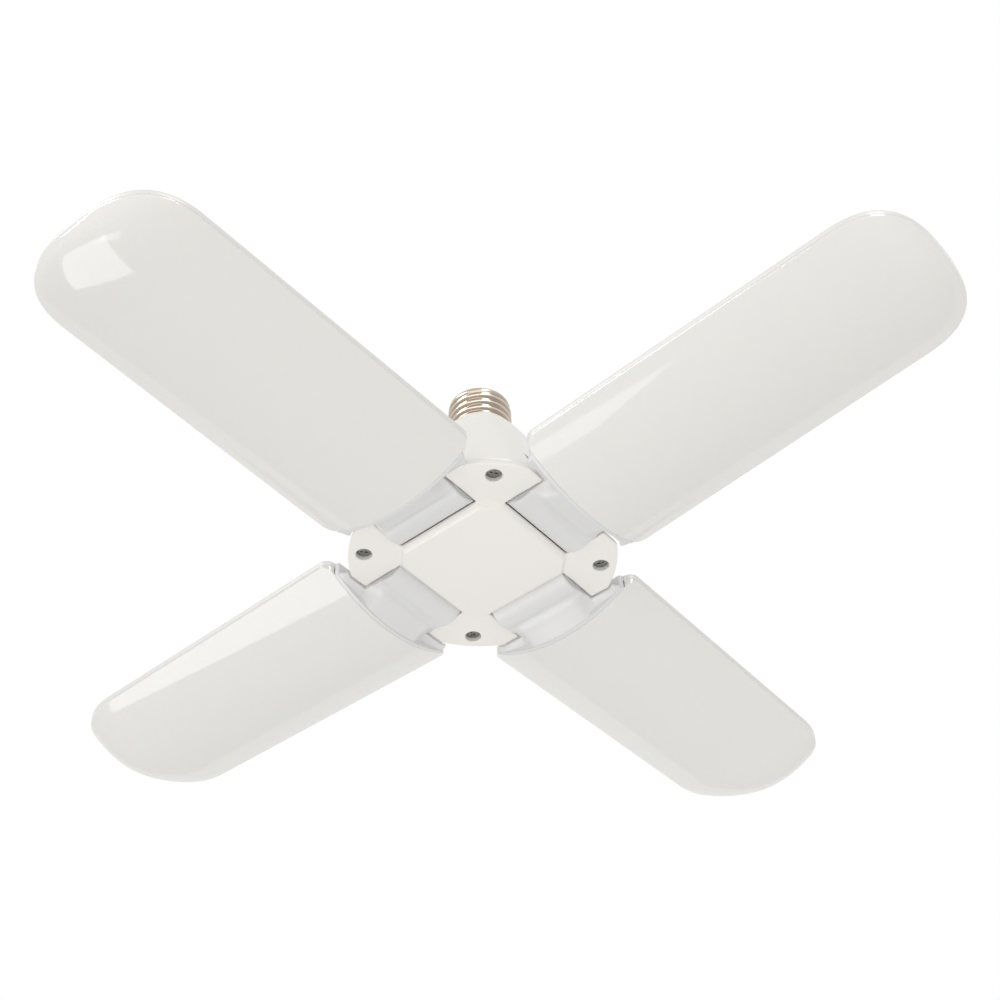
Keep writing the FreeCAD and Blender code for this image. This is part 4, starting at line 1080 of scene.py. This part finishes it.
def make_backs():
    """Coated aluminium backs with a low rim, rounded edge and cooling ribs."""
    underside = BACK_TOP - BACK_THICKNESS
    low = RIM_HEIGHT + 0.05
    steps = ((BACK_RIM_WALL, underside), (BACK_RIM_WALL, low), (0.2, low), (0.0, low + 0.2),
             (0.0, BACK_TOP - 0.6), (0.18, BACK_TOP - 0.18), (0.6, BACK_TOP))
    tray = skin("back_tray", [blade_outline(inset, height) for inset, height in steps])
    rib_depth = RIB_HEIGHT + RIB_SINK
    ribs = grown("back_ribs", rib_tree(), {
        "Rib Count": RIB_COUNT, "Spacing": RIB_SPACING, "Rib Width": RIB_WIDTH, "Rib Height": rib_depth,
        "Edge Radius": RIB_EDGE, "Start": RIB_START, "End": RIB_END,
        "Base Height": BACK_TOP + RIB_HEIGHT - rib_depth / 2, "Finish": coated_back})
    show_blade_pieces("aluminium_blade_back", joined("aluminium_blade_back", [tray, ribs]), coated_back,
                      "blade_back", crease=35)


def arm_slice(v):
    """Closed side profile of the hinge arm's web at a distance across."""
    ring = []
    arc_steps = 30
    start, end = (math.radians(angle) for angle in WEB_ARC)
    for step in range(arc_steps + 1):
        angle = start + (end - start) * step / arc_steps
        ring.append((HINGE_RADIUS + BARREL_RADIUS * math.cos(angle),
                     HINGE_HEIGHT + BARREL_RADIUS * math.sin(angle)))
    ring += [web_underside(step / WEB_STEPS, v) for step in range(1, WEB_STEPS + 1)]
    ring.append((ARM_END, WEB_TOP))
    return [(u, v, h) for u, h in ring]


def arm_end_height(v):
    """Height of the arm's lower face where it meets the diffuser."""
    return arch_height(v, HALF_WIDTH_START, ARCH_START) + ARM_FLUSH


def web_underside(share, v):
    """Place and height of the web's lower face: from under the barrel down to the diffuser, drawn up beside
    the lobes."""
    bottom = HINGE_HEIGHT - BARREL_RADIUS
    end_height = arm_end_height(v)
    hold = ((HINGE_RADIUS, bottom), (HINGE_RADIUS + WEB_HOLD_OUT, bottom),
            (ARM_END - WEB_HOLD_BACK, end_height + WEB_HOLD_RISE), (ARM_END, end_height))
    rest = 1 - share
    weights = (rest ** 3, 3 * share * rest ** 2, 3 * share ** 2 * rest, share ** 3)
    u, h = (sum(weight * point[axis] for weight, point in zip(weights, hold)) for axis in (0, 1))
    swept = HINGE_HEIGHT - math.sqrt(SWEPT_RADIUS ** 2 - min(u - HINGE_RADIUS, SWEPT_REACH) ** 2)
    h += max(swept - h, 0.0) * (1 - eased((u - HINGE_RADIUS - SWEPT_REACH) / SWEPT_FADE))
    beside = eased((abs(v) - LOBE_FILLET_START) / (BARREL_HALF_LENGTH - LOBE_FILLET_START))
    beside *= eased((u - HINGE_RADIUS - LOBE_FILLET_RUN[0]) / LOBE_FILLET_RUN[1])
    return u, h + beside * (flare_height(u, v) - h)


def eased(share):
    """Smooth step from 0 to 1."""
    share = min(max(share, 0.0), 1.0)
    return share * share * (3 - 2 * share)


def flare_start(v):
    """Where the flare's inner edge runs: along the lobe's outer side, then in to the flange's corner."""
    v = abs(v)
    lobe = min(FLAT_APOTHEM, math.sqrt(SKIRT_RADIUS ** 2 - v ** 2)) + FLARE_GAP
    return min(max(lobe, ARM_END - FLARE_TAPER * (FLANGE_HALF_WIDTH - v)), ARM_END - 0.05)


def flare_height(u, v):
    """Height of the flare's lower face, from just above the lobe's face down to the diffuser."""
    start = flare_start(v)
    end_height = arm_end_height(v)
    inner = max(FLARE_EDGE_HEIGHT, end_height + FLARE_EDGE_RISE)
    share = min(max((u - start) / (ARM_END - start), 0.0), 1.0)
    return inner + (end_height - inner) * share ** FLARE_CURVE


def flare_slice(v):
    """Closed side profile of the flare beside a lobe at a distance across."""
    start = flare_start(v)
    under, over = [], []
    for step in range(11):
        u = start + (ARM_END - start) * step / 10
        under.append((u, v, flare_height(u, v)))
        over.append((u, v, max(flare_height(u, v) + FLARE_SHEET, FLARE_SHEET_TOP)))
    return under + over[::-1]


def make_arms():
    """White hinge arms: barrel, broad curved web, flares round the lobes, flange flush with the diffuser."""
    half = BARREL_HALF_LENGTH
    slices = [arm_slice(-half + 2 * half * step / WEB_SLICES) for step in range(WEB_SLICES + 1)]
    web = rounded(skin("arm_web", slices), WEB_EDGE)
    rows = []
    for u in (FLANGE_START, ARM_END):
        reach = FLANGE_HALF_WIDTH - (ARM_END - u) / FLARE_TAPER
        ring = [(u, reach, FLANGE_TOP)]
        for step in range(41):
            v = reach * (1 - step / 20)
            ring.append((u, v, arm_end_height(v)))
        ring.append((u, -reach, FLANGE_TOP))
        rows.append(ring)
    flange = rounded(skin("arm_flange", rows), FLANGE_EDGE)
    flares = []
    for side in (-1, 1):
        stations = [half - FLARE_LAP + (FLANGE_HALF_WIDTH - 0.02 - half + FLARE_LAP) * step / FLARE_STEPS
                    for step in range(FLARE_STEPS + 1)]
        flares.append(skin("arm_flare", [[(u, side * y, h) for u, y, h in flare_slice(v)]
                                         for v in stations]))
    under_back = BACK_TOP - BACK_THICKNESS
    tongue = rounded(block("arm_tongue", (ARM_END - 1, -TONGUE_HALF_WIDTH, under_back - TONGUE_DEPTH),
                           (TONGUE_END, TONGUE_HALF_WIDTH, under_back - 0.02)), TONGUE_EDGE)
    whole = joined("white_hinge_arm", [web, flange, tongue] + flares)
    show_blade_pieces("white_hinge_arm", whole, arm_white, "hinge_arm", crease=32)


bpy.context.scene.view_settings.view_transform = "Standard"
make_camera()
make_world()
make_studio()
dress_cad_nodes()
make_screw_shell()
make_cap_end()
make_housing()
make_cover()
make_screws()
make_arms()
make_backs()
make_diffusers()
